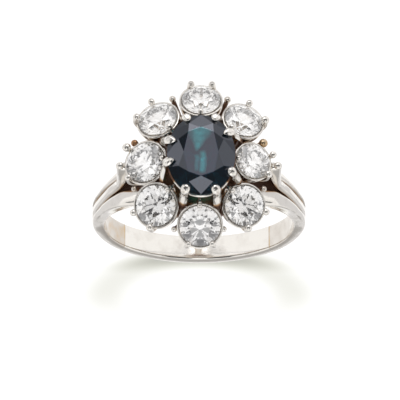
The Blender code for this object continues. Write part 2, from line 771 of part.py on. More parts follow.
def main():
    clear_scene()
    metal = new_material("white_metal", (0.80, 0.77, 0.73), 0.12, 1.0)
    blue = new_material("blue_stone", (0.05, 0.13, 0.20), 0.0, 0.0, 1.0, 1.77)
    clear = new_material("clear_stone", (0.97, 0.97, 0.98), 0.0, 0.0, 1.0, 2.42)

    mount = make_shank(metal)
    names = ("middle_strands", "base_rail", "seat_rail", "cups", "prong_wires",
             "prong_balls", "post_wires", "post_balls", "claws")
    pieces = {name: bmesh.new() for name in names}
    add_strands(pieces["middle_strands"])
    add_base_rail(pieces["base_rail"])
    add_seat_rail(pieces["seat_rail"])
    add_cups(pieces["cups"], pieces["prong_wires"], pieces["prong_balls"])
    add_posts(pieces["post_wires"], pieces["post_balls"])
    add_claws(pieces["claws"])
    soldered = bpy.data.collections.new("soldered_pieces")
    bpy.context.scene.collection.children.link(soldered)
    helpers = []
    for name, bm in pieces.items():
        helper = new_object(name, bm, metal, helper=True)
        bpy.context.scene.collection.objects.unlink(helper)
        soldered.objects.link(helper)
        helpers.append(helper)
    seats = bmesh.new()
    add_seats(seats)
    seats = new_object("stone_seats", seats, metal, helper=True)

    join = mount.modifiers.new("solder", 'BOOLEAN')
    join.operation = 'UNION'
    join.operand_type = 'COLLECTION'
    join.collection = soldered
    join.solver = 'EXACT'
    join.use_self = True
    cut = mount.modifiers.new("stone_seats", 'BOOLEAN')
    cut.operation = 'DIFFERENCE'
    cut.object = seats
    cut.solver = 'EXACT'

    outline = [vertex.co for made in (mount, *helpers) for vertex in made.data.vertices]
    ring_axes = bpy.data.objects.new("ring_axes", None)
    bpy.context.scene.collection.objects.link(ring_axes)
    ring_axes.matrix_world = resting_matrix(outline)
    for made in (mount, seats, *helpers):
        made.parent = ring_axes

    oval = brilliant_mesh("oval_brilliant", SAPPHIRE_HALF_WIDTH, SAPPHIRE_HALF_LENGTH,
                          SAPPHIRE_CROWN, SAPPHIRE_PAVILION, SAPPHIRE_GIRDLE, OVAL_CUT, blue)
    round_cut = brilliant_mesh("round_brilliant", DIAMOND_RADIUS, DIAMOND_RADIUS,
                               DIAMOND_CROWN, DIAMOND_PAVILION, DIAMOND_GIRDLE, ROUND_CUT, clear)
    sapphire_place = Matrix.Translation((SAPPHIRE_ACROSS, 0.0, SAPPHIRE_HEIGHT))
    place_stone("sapphire", oval, sapphire_place, ring_axes)
    for number, place in enumerate(cup_places(), start=1):
        place_stone(f"diamond_{number}", round_cut, cup_matrix(*place), ring_axes)


main()
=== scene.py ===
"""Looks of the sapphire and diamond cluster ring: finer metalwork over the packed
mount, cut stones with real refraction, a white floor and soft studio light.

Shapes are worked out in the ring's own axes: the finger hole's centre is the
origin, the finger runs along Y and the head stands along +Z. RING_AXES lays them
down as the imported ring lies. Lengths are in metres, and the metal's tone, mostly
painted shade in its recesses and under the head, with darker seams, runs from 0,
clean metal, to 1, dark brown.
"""

from math import atan2, cos, exp, pi, radians, sin, tan

import bmesh
import bpy
from mathutils import Matrix, Vector


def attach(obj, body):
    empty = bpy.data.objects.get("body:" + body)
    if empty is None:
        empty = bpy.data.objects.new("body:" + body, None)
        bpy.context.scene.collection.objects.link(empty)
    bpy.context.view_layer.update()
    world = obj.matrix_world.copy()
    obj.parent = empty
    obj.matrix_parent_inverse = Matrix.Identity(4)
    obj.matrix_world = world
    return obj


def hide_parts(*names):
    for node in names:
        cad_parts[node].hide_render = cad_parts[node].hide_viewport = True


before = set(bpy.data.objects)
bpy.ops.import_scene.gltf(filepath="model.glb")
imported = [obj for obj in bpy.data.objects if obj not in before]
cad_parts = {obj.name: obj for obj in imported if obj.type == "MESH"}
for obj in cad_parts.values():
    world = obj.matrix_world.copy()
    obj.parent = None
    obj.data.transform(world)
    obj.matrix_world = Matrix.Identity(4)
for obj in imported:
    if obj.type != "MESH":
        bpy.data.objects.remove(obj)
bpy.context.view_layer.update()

# Where the ring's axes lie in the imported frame
LYING_SINE = 0.2761212
LYING_COSINE = 0.9611228
RING_CENTRE = Vector((0.0, 0.0036858, 0.0036126))
RING_AXES = Matrix.Translation(RING_CENTRE) @ Matrix((
    (-1.0, 0.0, 0.0),
    (0.0, -LYING_SINE, -LYING_COSINE),
    (0.0, -LYING_COSINE, LYING_SINE))).to_4x4()

# Shank; painted shade lies in its trough and on the lips beside it, and on its outside
# under the head from BRIDGE_START, in degrees up
FINGER_RADIUS = 0.0085
PALM_THICKNESS = 0.0014
PALM_WIDTH = 0.00230
INNER_EDGE_ROUNDING = 0.00012
OUTER_EDGE_ROUNDING = 0.00030
TROUGH_FLOOR = 0.0007
GROOVE_WIDTH = 0.00008
TROUGH_OFFSET = 0.00013
INNER_SPREAD_SHARE = 0.25
INNER_MIDDLE_SHARE = 0.3
LIP_SHARE = 0.02
LIP_DROP_SHARE = 0.5
LIP_SHADE_SHARE = 0.25
BRIDGE_SHADE = 0.5
BRIDGE_START = 62.0
BRIDGE_FADE = 12.0

# Middle strands and their arms, with painted shade where they lie in the groove
STRAND_WIDTH = 0.00096
STRAND_THICKNESS = 0.00080
ARM_THICKNESS = 0.00096
ARM_OVERLAP = 0.00020
ARM_DROP = 0.00040
ARM_BALL_RADIUS = 0.00036
ARM_BALL_INSET_SHARE = 0.9
ARM_BALL_RISE_SHARE = 0.3
BAR_ROUNDING_SHARE = 0.28
GROOVE_SHADE = 0.9
GROOVE_TOP_SHARE = 0.78
GROOVE_FADE_SHARE = 0.1

# Cups and diamonds; the cups carry painted shade, deepest on their inner side, down the
# wall and in the hollow under the stone
CUP_RING_HALF_WIDTH = 0.00467
CUP_RING_HALF_LENGTH = 0.00578
CUP_RING_HEIGHT = 0.01410
CUP_TILT = radians(25.0)
CUP_RIM_RADIUS = 0.00195
CUP_FOOT_RADIUS = 0.00090
CUP_DEPTH = 0.00440
CUP_OUTER_SHADE = 0.18
CUP_SHADE_POWER = 1.6
CUP_TOP_SHARE = 0.02
CUP_TOP_SHADE = 0.15
CUP_SHADE_SLOPE = 1.6
RIM_STEP = 0.00012
RIM_SHADE = 0.10
SEAT_STEP = 0.00008
SEAT_EDGE_SHADE = 0.22
SEAT_FLOOR_SHADE = 0.2
SEAT_FLOOR_SHARE = 0.12
SEAT_SHARES = (0.95, 0.6, 0.25)
DIAMOND_RADIUS = 0.00171
DIAMOND_CROWN = 0.00052
DIAMOND_PAVILION = 0.00152
DIAMOND_GIRDLE = 0.00010
DIAMOND_TABLE_SHARE = 0.56
STONE_CLEARANCE = 0.00006

# Sapphire
SAPPHIRE_HALF_WIDTH = 0.00296
SAPPHIRE_HALF_LENGTH = 0.00363
SAPPHIRE_RISE = 0.00210
SAPPHIRE_HEIGHT = CUP_RING_HEIGHT + SAPPHIRE_RISE
SAPPHIRE_ACROSS = 0.00018
SAPPHIRE_CROWN = 0.00074
SAPPHIRE_GIRDLE = 0.00020
SAPPHIRE_TABLE_SHARE = 0.50
TABLE_HEIGHT = (SAPPHIRE_GIRDLE / 2 + SAPPHIRE_CROWN) / SAPPHIRE_HALF_WIDTH

# Prongs, claws, posts and rails, with painted shade at their roots and feet, on the
# claws' backs and dimples and on the rails
PRONG_WIRE_RADIUS = 0.00020
PRONG_BALL_RADIUS = 0.00031
PRONG_ROOT_DEPTH_SHARE = 0.45
PRONG_BEND_DEPTH_SHARE = 0.12
PRONG_BEND_OUTSET_SHARE = 0.6
PRONG_THICKENING = 0.15
PRONG_SHADE = 0.40
PRONG_SHADE_FADE = 1.5
CLAW_WIDTH = 0.00078
CLAW_THICKNESS = 0.00040
CLAW_TIP_THICKNESS_SHARE = 0.85
CLAW_GAP_OUTSET = 0.00094
CLAW_GAP_DROP = 0.00168
CLAW_ROUNDING_SHARE = 0.50
CLAW_SMOOTHING = 26
CLAW_TIP_LEGS = 1.1
CLAW_TIP_CLOSING = 0.12
CLAW_SIDE_SHADE = 0.12
CLAW_ROOT_SHADE = 0.85
CLAW_ROOT_SHARE = 0.41
CLAW_ROOT_FADE_SHARE = 0.05
DIMPLE_DEPTH = 0.00006
DIMPLE_PLACE_LEGS = 1.15
DIMPLE_LENGTH_LEGS = 0.30
DIMPLE_BREADTH_SHARE = 0.17
DIMPLE_FRONT_SHARE = 0.3
DIMPLE_SHADE = 0.22
POST_WIRE_RADIUS = 0.00018
POST_BALL_RADIUS = 0.00024
POST_REACH = 0.00129
POST_REACH_ALONG = 0.00042
POST_BALL_SHARE = 1.1
POST_SHADE_STEPS = 5
SEAT_RAIL_RADIUS = 0.00017
SEAT_RAIL_OUTSET = -0.00010
SEAT_RAIL_DROP = 0.00060
SEAT_RAIL_SHADE = 0.85
SEAT_RAIL_UNSHADED_TONE = 0.03
SEAT_RAIL_UNSHADED_ROWS = ((270.0, 22.0), (228.0, 7.0), (313.0, 5.0))
SEAT_RAIL_UNSHADED_FADE = 5.0
BASE_RAIL_WIDTH = 0.00090
BASE_RAIL_DEPTH = 0.00110
BASE_RAIL_SINK = 0.00011
BASE_RAIL_SHOULDER_SHARE = 0.6
BASE_RAIL_SHADE = (0.6, 0.9, 1.0)

# Mesh fineness
SHANK_STATIONS = 300
CUP_SIDES = 72
WIRE_SIDES = 16
RAIL_STATIONS = 144
STRAND_STEPS = 90
CLAW_STEPS = 9
PRONG_STEPS = 8
POST_STEPS = 8
RAIL_CORNERS = 12
BALL_STEPS = 14
BALL_END_SHARE = 0.02
CARD_STEPS = 12
CORNER_CUTS = 2

# Thickness and width as shares of the palm's, forward shift as a share of its width
SHANK_COLUMNS = ("elevation", "thickness", "width", "forward", "trough")
SHANK_ROWS = (
    (-90.0, 1.00, 1.00, 0.075, 0.0),
    (-45.0, 0.86, 0.96, 0.060, 0.0),
    (-10.0, 0.79, 0.87, 0.015, 0.0),
    (0.0, 0.79, 0.88, 0.000, 0.0),
    (9.0, 0.79, 0.94, 0.000, 0.8),
    (18.5, 0.80, 1.02, 0.000, 1.0),
    (30.0, 0.98, 1.14, 0.015, 1.0),
    (43.0, 1.34, 1.39, 0.040, 1.0),
    (52.0, 1.62, 1.63, 0.055, 1.0),
    (62.0, 1.62, 1.86, 0.060, 1.0),
    (75.0, 1.20, 2.03, 0.075, 0.3),
    (90.0, 1.05, 2.08, 0.080, 0.0),
)
# Top of the outer strands: share of the shelf, and drop in edge roundings
OUTER_STRAND_ROWS = (
    (0.22, 0.00),
    (0.55, 0.00),
    (0.88, 0.33),
    (1.00, 1.00),
)
# Middle strand: shares of the arm's height and reach, and of its own sizes
STRAND_COLUMNS = ("up", "across", "thickness", "width")
STRAND_ROWS = (
    (0.010, 0.060, 0.80, 0.90),
    (0.060, 0.010, 0.90, 1.00),
    (0.146, 0.078, 0.95, 1.00),
    (0.232, 0.190, 1.00, 1.00),
    (0.382, 0.430, 1.00, 1.00),
    (0.500, 0.635, 1.05, 1.00),
    (0.600, 0.850, 1.10, 1.00),
    (0.670, 0.965, 1.15, 0.97),
    (0.760, 1.000, 1.25, 0.92),
    (0.900, 1.000, 1.45, 0.80),
    (1.000, 1.000, 1.60, 0.70),
)
# Cups: place across and along as shares of the cups' oval, and size
CUP_ROWS = (
    (1.01, 0.03, 0.91),
    (0.83, 0.68, 0.98),
    (0.04, 1.01, 0.98),
    (-0.77, 0.70, 1.00),
    (-1.00, 0.01, 1.04),
    (-0.80, -0.68, 1.04),
    (0.02, -1.00, 1.03),
    (0.84, -0.68, 1.01),
)
# Prongs of each cup: turn in degrees, reach of the tip in stone radii, size of the ball
PRONG_ROWS = (
    ((22.0, 1.30, 1.00), (-45.0, 1.10, 1.10), (180.0, 1.04, 0.75)),
    ((28.0, 1.04, 1.00), (-44.0, 1.10, 1.20), (180.0, 1.04, 0.80)),
    ((-31.0, 1.05, 1.00), (32.0, 1.05, 1.00), (180.0, 1.04, 0.75)),
    ((-24.0, 1.06, 1.00), (43.0, 1.05, 1.10), (180.0, 1.04, 0.80)),
    ((-42.0, 1.28, 1.25), (44.0, 1.09, 1.00), (180.0, 1.04, 0.85)),
    ((-32.0, 1.12, 1.00), (29.0, 1.07, 1.10), (180.0, 1.04, 0.75)),
    ((-34.0, 1.04, 0.85), (34.0, 1.04, 0.85), (180.0, 1.04, 0.75)),
    ((-35.0, 1.12, 1.10), (32.0, 1.12, 1.00), (180.0, 1.04, 0.80)),
)
# Cup walls: where they have rings, and how far they flare, as shares from rim to foot
CUP_WALL_DEPTHS = (1.0, 0.9, 0.8, 0.7, 0.6, 0.5, 0.4, 0.3, 0.25, 0.2, 0.15, 0.1, 0.07)
CUP_WALL_COLUMNS = ("depth", "flare")
CUP_WALL_ROWS = (
    (0.03, 1.00),
    (0.08, 1.00),
    (0.25, 0.84),
    (0.70, 0.24),
    (1.00, 0.00),
)
# Claws: root and tip angle, reach over the stone, breadth of the tip, and its dimple;
# then the shares of the leg, and outset and rise of the head's points in claw standoffs
CLAW_ROWS = (
    (26.0, 33.0, 1.45, 0.42, 0.0),
    (66.0, 65.0, 0.85, 0.60, 0.0),
    (114.0, 115.0, 1.00, 0.70, 0.0),
    (154.0, 160.0, 1.45, 0.55, 0.0),
    (206.0, 192.0, 1.35, 0.40, 0.0),
    (244.6, 243.0, 0.80, 0.80, 1.0),
    (291.6, 295.5, 0.80, 0.80, 1.0),
    (334.0, 333.0, 0.80, 0.60, 0.0),
)
CLAW_LEG_SHARES = (0.15, 0.60, 1.00)
CLAW_HEAD_ROWS = (
    (0.80, -2.30),
    (1.10, 0.30),
    (-0.30, 1.17),
    (-1.60, 1.10),
)
# Posts: angle, reach, wire size, painted shade of the stem and tone of the ball
POST_ROWS = (
    (20.0, 1.0, 1.5, 0.36, 0.33),
    (69.5, 1.9, 1.15, 0.85, 0.10),
    (109.0, 1.9, 1.15, 0.85, 0.10),
    (160.0, 1.0, 1.2, 0.90, 0.50),
    (200.0, 1.0, 1.0, 0.80, 0.25),
    (249.0, 1.0, 1.0, 0.60, 0.0),
    (291.0, 1.0, 1.0, 0.60, 0.0),
    (340.0, 1.0, 1.0, 0.70, 0.20),
)

# Solder seams across the inside of the band, by angle in degrees and depth of tone, and
# the darker ends of the inside beyond them
SEAM_ROWS = ((217.0, 0.27), (319.0, 0.27))
SEAM_HALF_ANGLE = 0.35
SEAM_FADE_ANGLE = 0.9
SEAM_MARGIN = 0.1
SEAM_EDGE_SHARE = 0.5
LEFT_END_START = 175.0
LEFT_END_TONE = 0.21
RIGHT_END_TONE = 0.12
BAND_START = -90.0

# Metal: colours by tone, mostly painted shade, fineness and detail of its blotches and
# polishing marks, and ranges (from low, from high, to low, to high) of roughness by blotch,
# then roughness and metallic by tone; deep painted shade is less metallic
METAL_TONES = ((0.0, (0.83, 0.80, 0.755)), (0.20, (0.63, 0.58, 0.525)),
               (0.33, (0.60, 0.44, 0.27)), (0.48, (0.36, 0.20, 0.11)),
               (0.72, (0.13, 0.065, 0.038)), (1.0, (0.050, 0.026, 0.017)))
BLOTCH_NOISE = (900.0, 3.0)
BLOTCH_SPREAD = 0.30
MARK_NOISE = (5200.0, 4.0)
MARK_STRENGTH = 0.05
MARK_HEIGHT = 0.00002
GLOSS_RANGE = (0.3, 0.8, 0.07, 0.18)
DULL_RANGE = (0.4, 0.9, 0.0, 0.45)
SHADE_METALLIC_RANGE = (0.45, 0.95, 1.0, 0.6)

# Diamonds: tones over the stone; the upper ones rougher, painted lighter and given a
# painted glow, and the lowest painted darker
DIAMOND_NOISE = (700.0, 2.0)
DIAMOND_IOR = 2.42
SOFT_LIT_DIAMONDS = 4
SOFT_ROUGHNESS = 0.06
SOFT_PAINTED_GLOW = 0.011
GLOW_COLOUR = (1.0, 0.985, 0.97)
SHADED_DIAMOND = 7
CLEAR_TONES = ((0.35, (0.89, 0.89, 0.895)), (0.65, (0.955, 0.94, 0.92)))
SOFT_LIT_TONES = ((0.35, (0.96, 0.955, 0.955)), (0.65, (0.995, 0.975, 0.955)))
SHADED_TONES = ((0.35, (0.83, 0.83, 0.835)), (0.65, (0.90, 0.885, 0.875)))

# Sapphire: colours, and heights (in half widths) between which its parts fade
SAPPHIRE_IOR = 1.77
SAPPHIRE_TRANSMISSION = 0.8
SAPPHIRE_GLOSS = (0.95, 0.985, 1.12)
CROWN_COLOUR = (0.0002, 0.0012, 0.0026)
SLATE_TONES = ((0.35, (0.010, 0.003, 0.015)), (0.65, (0.0, 0.008, 0.017)))
TEAL_COLOUR = (0.04, 0.46, 0.50)
PAVILION_COLOUR = (0.07, 0.30, 0.34)
TABLE_FADE = (TABLE_HEIGHT - 0.004, TABLE_HEIGHT - 0.012)
PAVILION_FADE = (-0.10, -0.03)

# Teal zones of the sapphire, as shares of its half width and half length: lower and
# upper end, middle and half width at each, and strength
TEAL_ZONES = (
    (0.04, 0.66, -0.12, 0.02, 0.06, 0.43, 0.62),
    (-0.52, 0.00, 0.05, 0.05, 0.11, 0.10, 0.62),
    (-0.48, -0.08, -0.13, -0.13, 0.06, 0.08, 0.28),
)
TEAL_WOBBLE = 0.20
TEAL_WOBBLE_NOISE = (2.6, 3.0)
TEAL_GRAIN_NOISE = (7.0, 2.0)
TEAL_GRAIN = (1.5, 0.25)
TEAL_LEAST_HALF = 0.03
TEAL_SIDE_FADE = (0.15, 1.35)
TEAL_END_FADE = (0.36, 0.60)

X_AXIS = Vector((1.0, 0.0, 0.0))
Y_AXIS = Vector((0.0, 1.0, 0.0))
Z_AXIS = Vector((0.0, 0.0, 1.0))


# Curves and tables

def clamp(value):
    return max(0.0, min(1.0, value))


def hermite(start, end, slope_start, slope_end, share):
    square, cube = share ** 2, share ** 3
    return (start * (2 * cube - 3 * square + 1) + end * (3 * square - 2 * cube)
            + slope_start * (cube - 2 * square + share) + slope_end * (cube - square))


def row_slope(rows, index, column):
    if index in (0, len(rows) - 1):
        return 0.0
    before, here, after = rows[index - 1], rows[index], rows[index + 1]
    rise_in = (here[column] - before[column]) / (here[0] - before[0])
    rise_out = (after[column] - here[column]) / (after[0] - here[0])
    if rise_in * rise_out <= 0.0:
        return 0.0
    return 2.0 * rise_in * rise_out / (rise_in + rise_out)


def table_row(columns, rows, position):
    """Smoothly read the named columns of a table whose first column rises."""
    position = max(rows[0][0], min(rows[-1][0], position))
    index = next(index for index, row in enumerate(rows[1:]) if position <= row[0])
    low, high = rows[index:index + 2]
    span = high[0] - low[0]
    return {name: hermite(low[column], high[column], row_slope(rows, index, column) * span,
                          row_slope(rows, index + 1, column) * span,
                          (position - low[0]) / span)
            for column, name in enumerate(columns)}


def smooth_path(points, steps):
    """Catmull-Rom points along a route, with the given steps for each leg."""
    padded = [2 * points[0] - points[1], *points, 2 * points[-1] - points[-2]]
    route = []
    for leg in range(len(points) - 1):
        before, start, end, after = padded[leg:leg + 4]
        for step in range(steps):
            share = step / steps
            route.append(Vector([
                hermite(start[axis], end[axis], (end[axis] - before[axis]) / 2,
                        (after[axis] - start[axis]) / 2, share)
                for axis in range(3)]))
    route.append(points[-1].copy())
    return route


def directions(route):
    """Unit vectors along a route, one at each of its points."""
    return [(after - before).normalized()
            for before, after in zip(route[:1] + route[:-1], route[1:] + route[-1:])]


def cut_corners(outline):
    """Round a closed outline by cutting its corners; extra values ride along."""
    for _ in range(CORNER_CUTS):
        rounded = []
        for here, following in zip(outline, outline[1:] + outline[:1]):
            rounded.append(tuple(0.75 * a + 0.25 * b for a, b in zip(here, following)))
            rounded.append(tuple(0.25 * a + 0.75 * b for a, b in zip(here, following)))
        outline = rounded
    return outline


# Mesh building; each vertex also keeps the metal's tone there, mostly painted shade

def finished_mesh(bm, name, material):
    mesh = bpy.data.meshes.new(name)
    bm.to_mesh(mesh)
    bm.free()
    mesh.materials.append(material)
    return mesh


def new_object(name, data):
    made = bpy.data.objects.new(name, data)
    bpy.context.scene.collection.objects.link(made)
    return made


class Metalwork:
    """Collects lofts in the ring's axes and turns them into one piece."""

    def __init__(self):
        self.bm = bmesh.new()
        self.shade_and_tarnish = self.bm.verts.layers.float.new("shade_and_tarnish")

    def vertex(self, point, shade_and_tarnish):
        made = self.bm.verts.new(point)
        made[self.shade_and_tarnish] = shade_and_tarnish
        return made

    def loft(self, rings, closed=False):
        """Rings of (point, tone) joined into one skin; open ends are capped."""
        rows = [[self.vertex(*corner) for corner in ring] for ring in rings]
        count = len(rows[0])
        pairs = list(zip(rows, rows[1:]))
        if closed:
            pairs.append((rows[-1], rows[0]))
        faces = []
        for first, second in pairs:
            for corner in range(count):
                following = (corner + 1) % count
                faces.append(self.bm.faces.new(
                    (first[corner], first[following], second[following], second[corner])))
        if not closed:
            for row, ring in ((rows[0], rings[0]), (rows[-1], rings[-1])):
                middle = sum((spot.co for spot in row), Vector()) / count
                hub = self.vertex(middle, ring[0][1])
                for spot, following in zip(row, row[1:] + row[:1]):
                    faces.append(self.bm.faces.new((spot, following, hub)))
        bmesh.ops.recalc_face_normals(self.bm, faces=faces)

    def turned(self, profile, placement):
        """Turn a closed profile of (radius, height, tone) about local Z; the tone is painted
        shade, and the outer side, towards local X, keeps only a share of it."""
        rings = []
        for side in range(CUP_SIDES):
            turn = 2 * pi * side / CUP_SIDES
            kept = CUP_OUTER_SHADE + (1.0 - CUP_OUTER_SHADE) * (
                (1.0 - cos(turn)) / 2) ** CUP_SHADE_POWER
            rings.append([
                (placement @ Vector((radius * cos(turn), radius * sin(turn), height)),
                 kept * shade_and_tarnish) for radius, height, shade_and_tarnish in profile])
        self.loft(rings, closed=True)

    def wire(self, route, radii, shade_and_tarnish):
        """Round wire of changing radius, with flat ends."""
        side = (route[1] - route[0]).orthogonal().normalized()
        turns = [2 * pi * step / WIRE_SIDES for step in range(WIRE_SIDES)]
        rings = []
        for point, along, radius, tone in zip(route, directions(route), radii, shade_and_tarnish):
            side = (side - along * side.dot(along)).normalized()
            across = along.cross(side)
            rings.append([(point + radius * (side * cos(turn) + across * sin(turn)), tone)
                          for turn in turns])
        self.loft(rings)

    def ball(self, centre, radius, axis, shade_and_tarnish):
        """Ball as a wire whose radius follows a circle."""
        route = []
        radii = []
        for step in range(BALL_STEPS + 1):
            turn = pi * (BALL_END_SHARE + (1.0 - 2 * BALL_END_SHARE) * step / BALL_STEPS)
            route.append(centre - axis * radius * cos(turn))
            radii.append(radius * sin(turn))
        self.wire(route, radii, [shade_and_tarnish] * len(route))

    def piece(self, name, material):
        """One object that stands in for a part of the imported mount."""
        self.bm.transform(RING_AXES)
        mesh = finished_mesh(self.bm, name, material)
        mesh.shade_smooth()
        made = new_object(name, mesh)
        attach(made, "root")
        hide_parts("mount")


# Shank and shoulders

def seam_tone(angle):
    """Tone of the band's inside: darker ends, and a line at each solder seam."""
    angle %= 360.0
    (left_seam, _), (right_seam, _) = SEAM_ROWS
    tone = (LEFT_END_TONE if LEFT_END_START < angle < left_seam
            else RIGHT_END_TONE if angle > right_seam else 0.0)
    for seam, depth in SEAM_ROWS:
        tone = max(tone, depth * clamp((SEAM_FADE_ANGLE - abs(angle - seam))
                                       / (SEAM_FADE_ANGLE - SEAM_HALF_ANGLE)))
    return tone


def shank_section(angle):
    elevation = angle if angle <= 90.0 else 180.0 - angle
    shares = table_row(SHANK_COLUMNS, SHANK_ROWS, elevation)
    thickness = PALM_THICKNESS * shares["thickness"]
    half_width = PALM_WIDTH / 2 * shares["width"]
    forward = PALM_WIDTH * shares["forward"]
    trough = shares["trough"]
    outer = FINGER_RADIUS + thickness
    floor = outer - trough * (thickness - TROUGH_FLOOR)
    lip = outer - trough * LIP_DROP_SHARE * OUTER_EDGE_ROUNDING
    inner_half = PALM_WIDTH / 2 + (half_width - PALM_WIDTH / 2) * INNER_SPREAD_SHARE
    seam = seam_tone(angle)
    # Painted shade: in the trough and on its lips by how deep the trough is, and on the
    # outside under the head by elevation
    bridge = BRIDGE_SHADE * clamp((elevation - BRIDGE_START) / BRIDGE_FADE)
    outline = []
    for side in (1, -1):
        edge = STRAND_WIDTH / 2 + GROOVE_WIDTH + side * TROUGH_OFFSET
        shelf = half_width - side * forward - edge
        inner = inner_half - side * forward
        half = [(0.0, floor, max(trough, bridge)), (edge, floor, max(trough, bridge)),
                (edge + LIP_SHARE * shelf, lip, max(LIP_SHADE_SHARE * trough, bridge))]
        half += [(edge + share * shelf, outer - drop * OUTER_EDGE_ROUNDING, bridge)
                 for share, drop in OUTER_STRAND_ROWS]
        half += [(inner, FINGER_RADIUS + INNER_EDGE_ROUNDING, SEAM_EDGE_SHARE * seam),
                 (inner - INNER_EDGE_ROUNDING, FINGER_RADIUS, seam),
                 (INNER_MIDDLE_SHARE * inner, FINGER_RADIUS, seam)]
        outline += [(side * across, radius, dark) for across, radius, dark in half[::side]]
    outline = outline[1:]
    direction = X_AXIS * cos(radians(angle)) + Z_AXIS * sin(radians(angle))
    return [(Y_AXIS * across + direction * radius, dark)
            for across, radius, dark in cut_corners(outline)]


def make_band(metal):
    """Shank all round the finger hole, with stations of its own at each seam."""
    work = Metalwork()
    step = 360.0 / SHANK_STATIONS
    angles = [BAND_START + step * station for station in range(SHANK_STATIONS)]
    for seam, _ in SEAM_ROWS:
        near = seam - 360.0 if seam > BAND_START + 360.0 else seam
        angles = [angle for angle in angles
                  if abs(angle - near) > SEAM_FADE_ANGLE + SEAM_MARGIN]
        angles += [near + offset for offset in (-SEAM_FADE_ANGLE, -SEAM_HALF_ANGLE, 0.0,
                                                SEAM_HALF_ANGLE, SEAM_FADE_ANGLE)]
    work.loft([shank_section(angle) for angle in sorted(angles)], closed=True)
    work.piece("band", metal)


def arm_top():
    reach = CUP_RING_HALF_WIDTH + CUP_RIM_RADIUS * cos(CUP_TILT)
    height = CUP_RING_HEIGHT - CUP_RIM_RADIUS * sin(CUP_TILT) - ARM_DROP
    return reach + ARM_THICKNESS - ARM_OVERLAP, height


def bar_section(point, across, face, width, thickness, sides_dark, face_dark=0.0,
                rounding=BAR_ROUNDING_SHARE):
    """Corners of a flat bar, with their painted shade; its face lies along the face vector.
    """
    half_width, half_depth = width / 2, thickness / 2
    bevel = rounding * min(width, thickness)
    outline = [(-half_width, half_depth - bevel, face_dark),
               (-half_width + bevel, half_depth, face_dark),
               (0.0, half_depth, face_dark),
               (half_width - bevel, half_depth, face_dark),
               (half_width, half_depth - bevel, face_dark),
               (half_width, bevel - half_depth, sides_dark),
               (half_width - bevel, -half_depth, sides_dark),
               (-half_width + bevel, -half_depth, sides_dark),
               (-half_width, bevel - half_depth, sides_dark)]
    return [(point + across * wide + face * deep, dark)
            for wide, deep, dark in cut_corners(outline)]


def make_shoulders(metal):
    work = Metalwork()
    shares = table_row(SHANK_COLUMNS, SHANK_ROWS, 0.0)
    side_radius = FINGER_RADIUS + PALM_THICKNESS * shares["thickness"]
    arm_reach, arm_height = arm_top()
    for side in (1, -1):
        route = []
        sizes = []
        for step in range(STRAND_STEPS + 1):
            up = STRAND_ROWS[0][0] + (1.0 - STRAND_ROWS[0][0]) * step / STRAND_STEPS
            shares = table_row(STRAND_COLUMNS, STRAND_ROWS, up)
            reach = side_radius - shares["across"] * (side_radius - arm_reach)
            route.append(Vector((side * reach, TROUGH_OFFSET, up * arm_height)))
            # Painted shade on the strand's back while it lies in the groove
            in_groove = clamp((GROOVE_TOP_SHARE - up) / GROOVE_FADE_SHARE)
            sizes.append((STRAND_WIDTH * shares["width"],
                          STRAND_THICKNESS * shares["thickness"],
                          GROOVE_SHADE * in_groove))
        rings = []
        for point, along, (width, thickness, tone) in zip(route, directions(route), sizes):
            face = Y_AXIS.cross(along).normalized()
            if face.x * side < 0.0:
                face = -face
            rings.append(bar_section(point - face * thickness / 2, Y_AXIS, face, width,
                                     thickness, tone))
        work.loft(rings)
        top = route[-1]
        inset = X_AXIS * side * ARM_BALL_INSET_SHARE * ARM_BALL_RADIUS
        rise = Z_AXIS * ARM_BALL_RISE_SHARE * ARM_BALL_RADIUS
        work.ball(top - inset + rise, ARM_BALL_RADIUS, Z_AXIS, 0.0)
    work.piece("middle_strands", metal)


# Cups and their prongs

def cup_places():
    places = []
    for across, along, size in CUP_ROWS:
        centre = Vector((across * CUP_RING_HALF_WIDTH, along * CUP_RING_HALF_LENGTH,
                         CUP_RING_HEIGHT))
        places.append((centre, Vector((centre.x, centre.y, 0.0)).normalized(), size))
    return places


def cup_matrix(centre, outward, size):
    axis = Z_AXIS * cos(CUP_TILT) + outward * sin(CUP_TILT)
    downhill = outward * cos(CUP_TILT) - Z_AXIS * sin(CUP_TILT)
    turn = Matrix((downhill, axis.cross(downhill), axis)).transposed().to_4x4()
    return Matrix.Translation(centre) @ turn @ Matrix.Scale(size, 4)


def cup_radius(depth):
    shares = table_row(CUP_WALL_COLUMNS, CUP_WALL_ROWS, depth)
    return CUP_FOOT_RADIUS + shares["flare"] * (CUP_RIM_RADIUS - CUP_FOOT_RADIUS)


def cup_outline():
    """Closed section of a cup: outer wall, rim, and the hollow under the stone, with painted
    shade that deepens down the wall and into the bottom of the hollow.
    """
    slope = DIAMOND_PAVILION / DIAMOND_RADIUS
    wall = DIAMOND_RADIUS + STONE_CLEARANCE / 2
    outline = [(cup_radius(depth), -depth * CUP_DEPTH,
                min(1.0, CUP_TOP_SHADE + CUP_SHADE_SLOPE * depth))
               for depth in CUP_WALL_DEPTHS]
    top = -CUP_TOP_SHARE * CUP_DEPTH
    outline += [(CUP_RIM_RADIUS, top - RIM_STEP, RIM_SHADE), (CUP_RIM_RADIUS, top, 0.0),
                (wall, top, 0.0), (wall, top - SEAT_STEP, SEAT_EDGE_SHADE),
                (wall, -DIAMOND_GIRDLE - SEAT_STEP / 2, SEAT_EDGE_SHADE)]
    floor = SEAT_FLOOR_SHARE * DIAMOND_RADIUS
    cone_top = -DIAMOND_GIRDLE - SEAT_STEP
    for share in SEAT_SHARES:
        radius = floor + share * (wall - floor)
        outline.append((radius, cone_top - (wall - radius) * slope, 0.0))
    outline += [(floor, cone_top - (wall - floor) * slope, SEAT_FLOOR_SHADE),
                (floor, -CUP_DEPTH, 1.0)]
    return outline


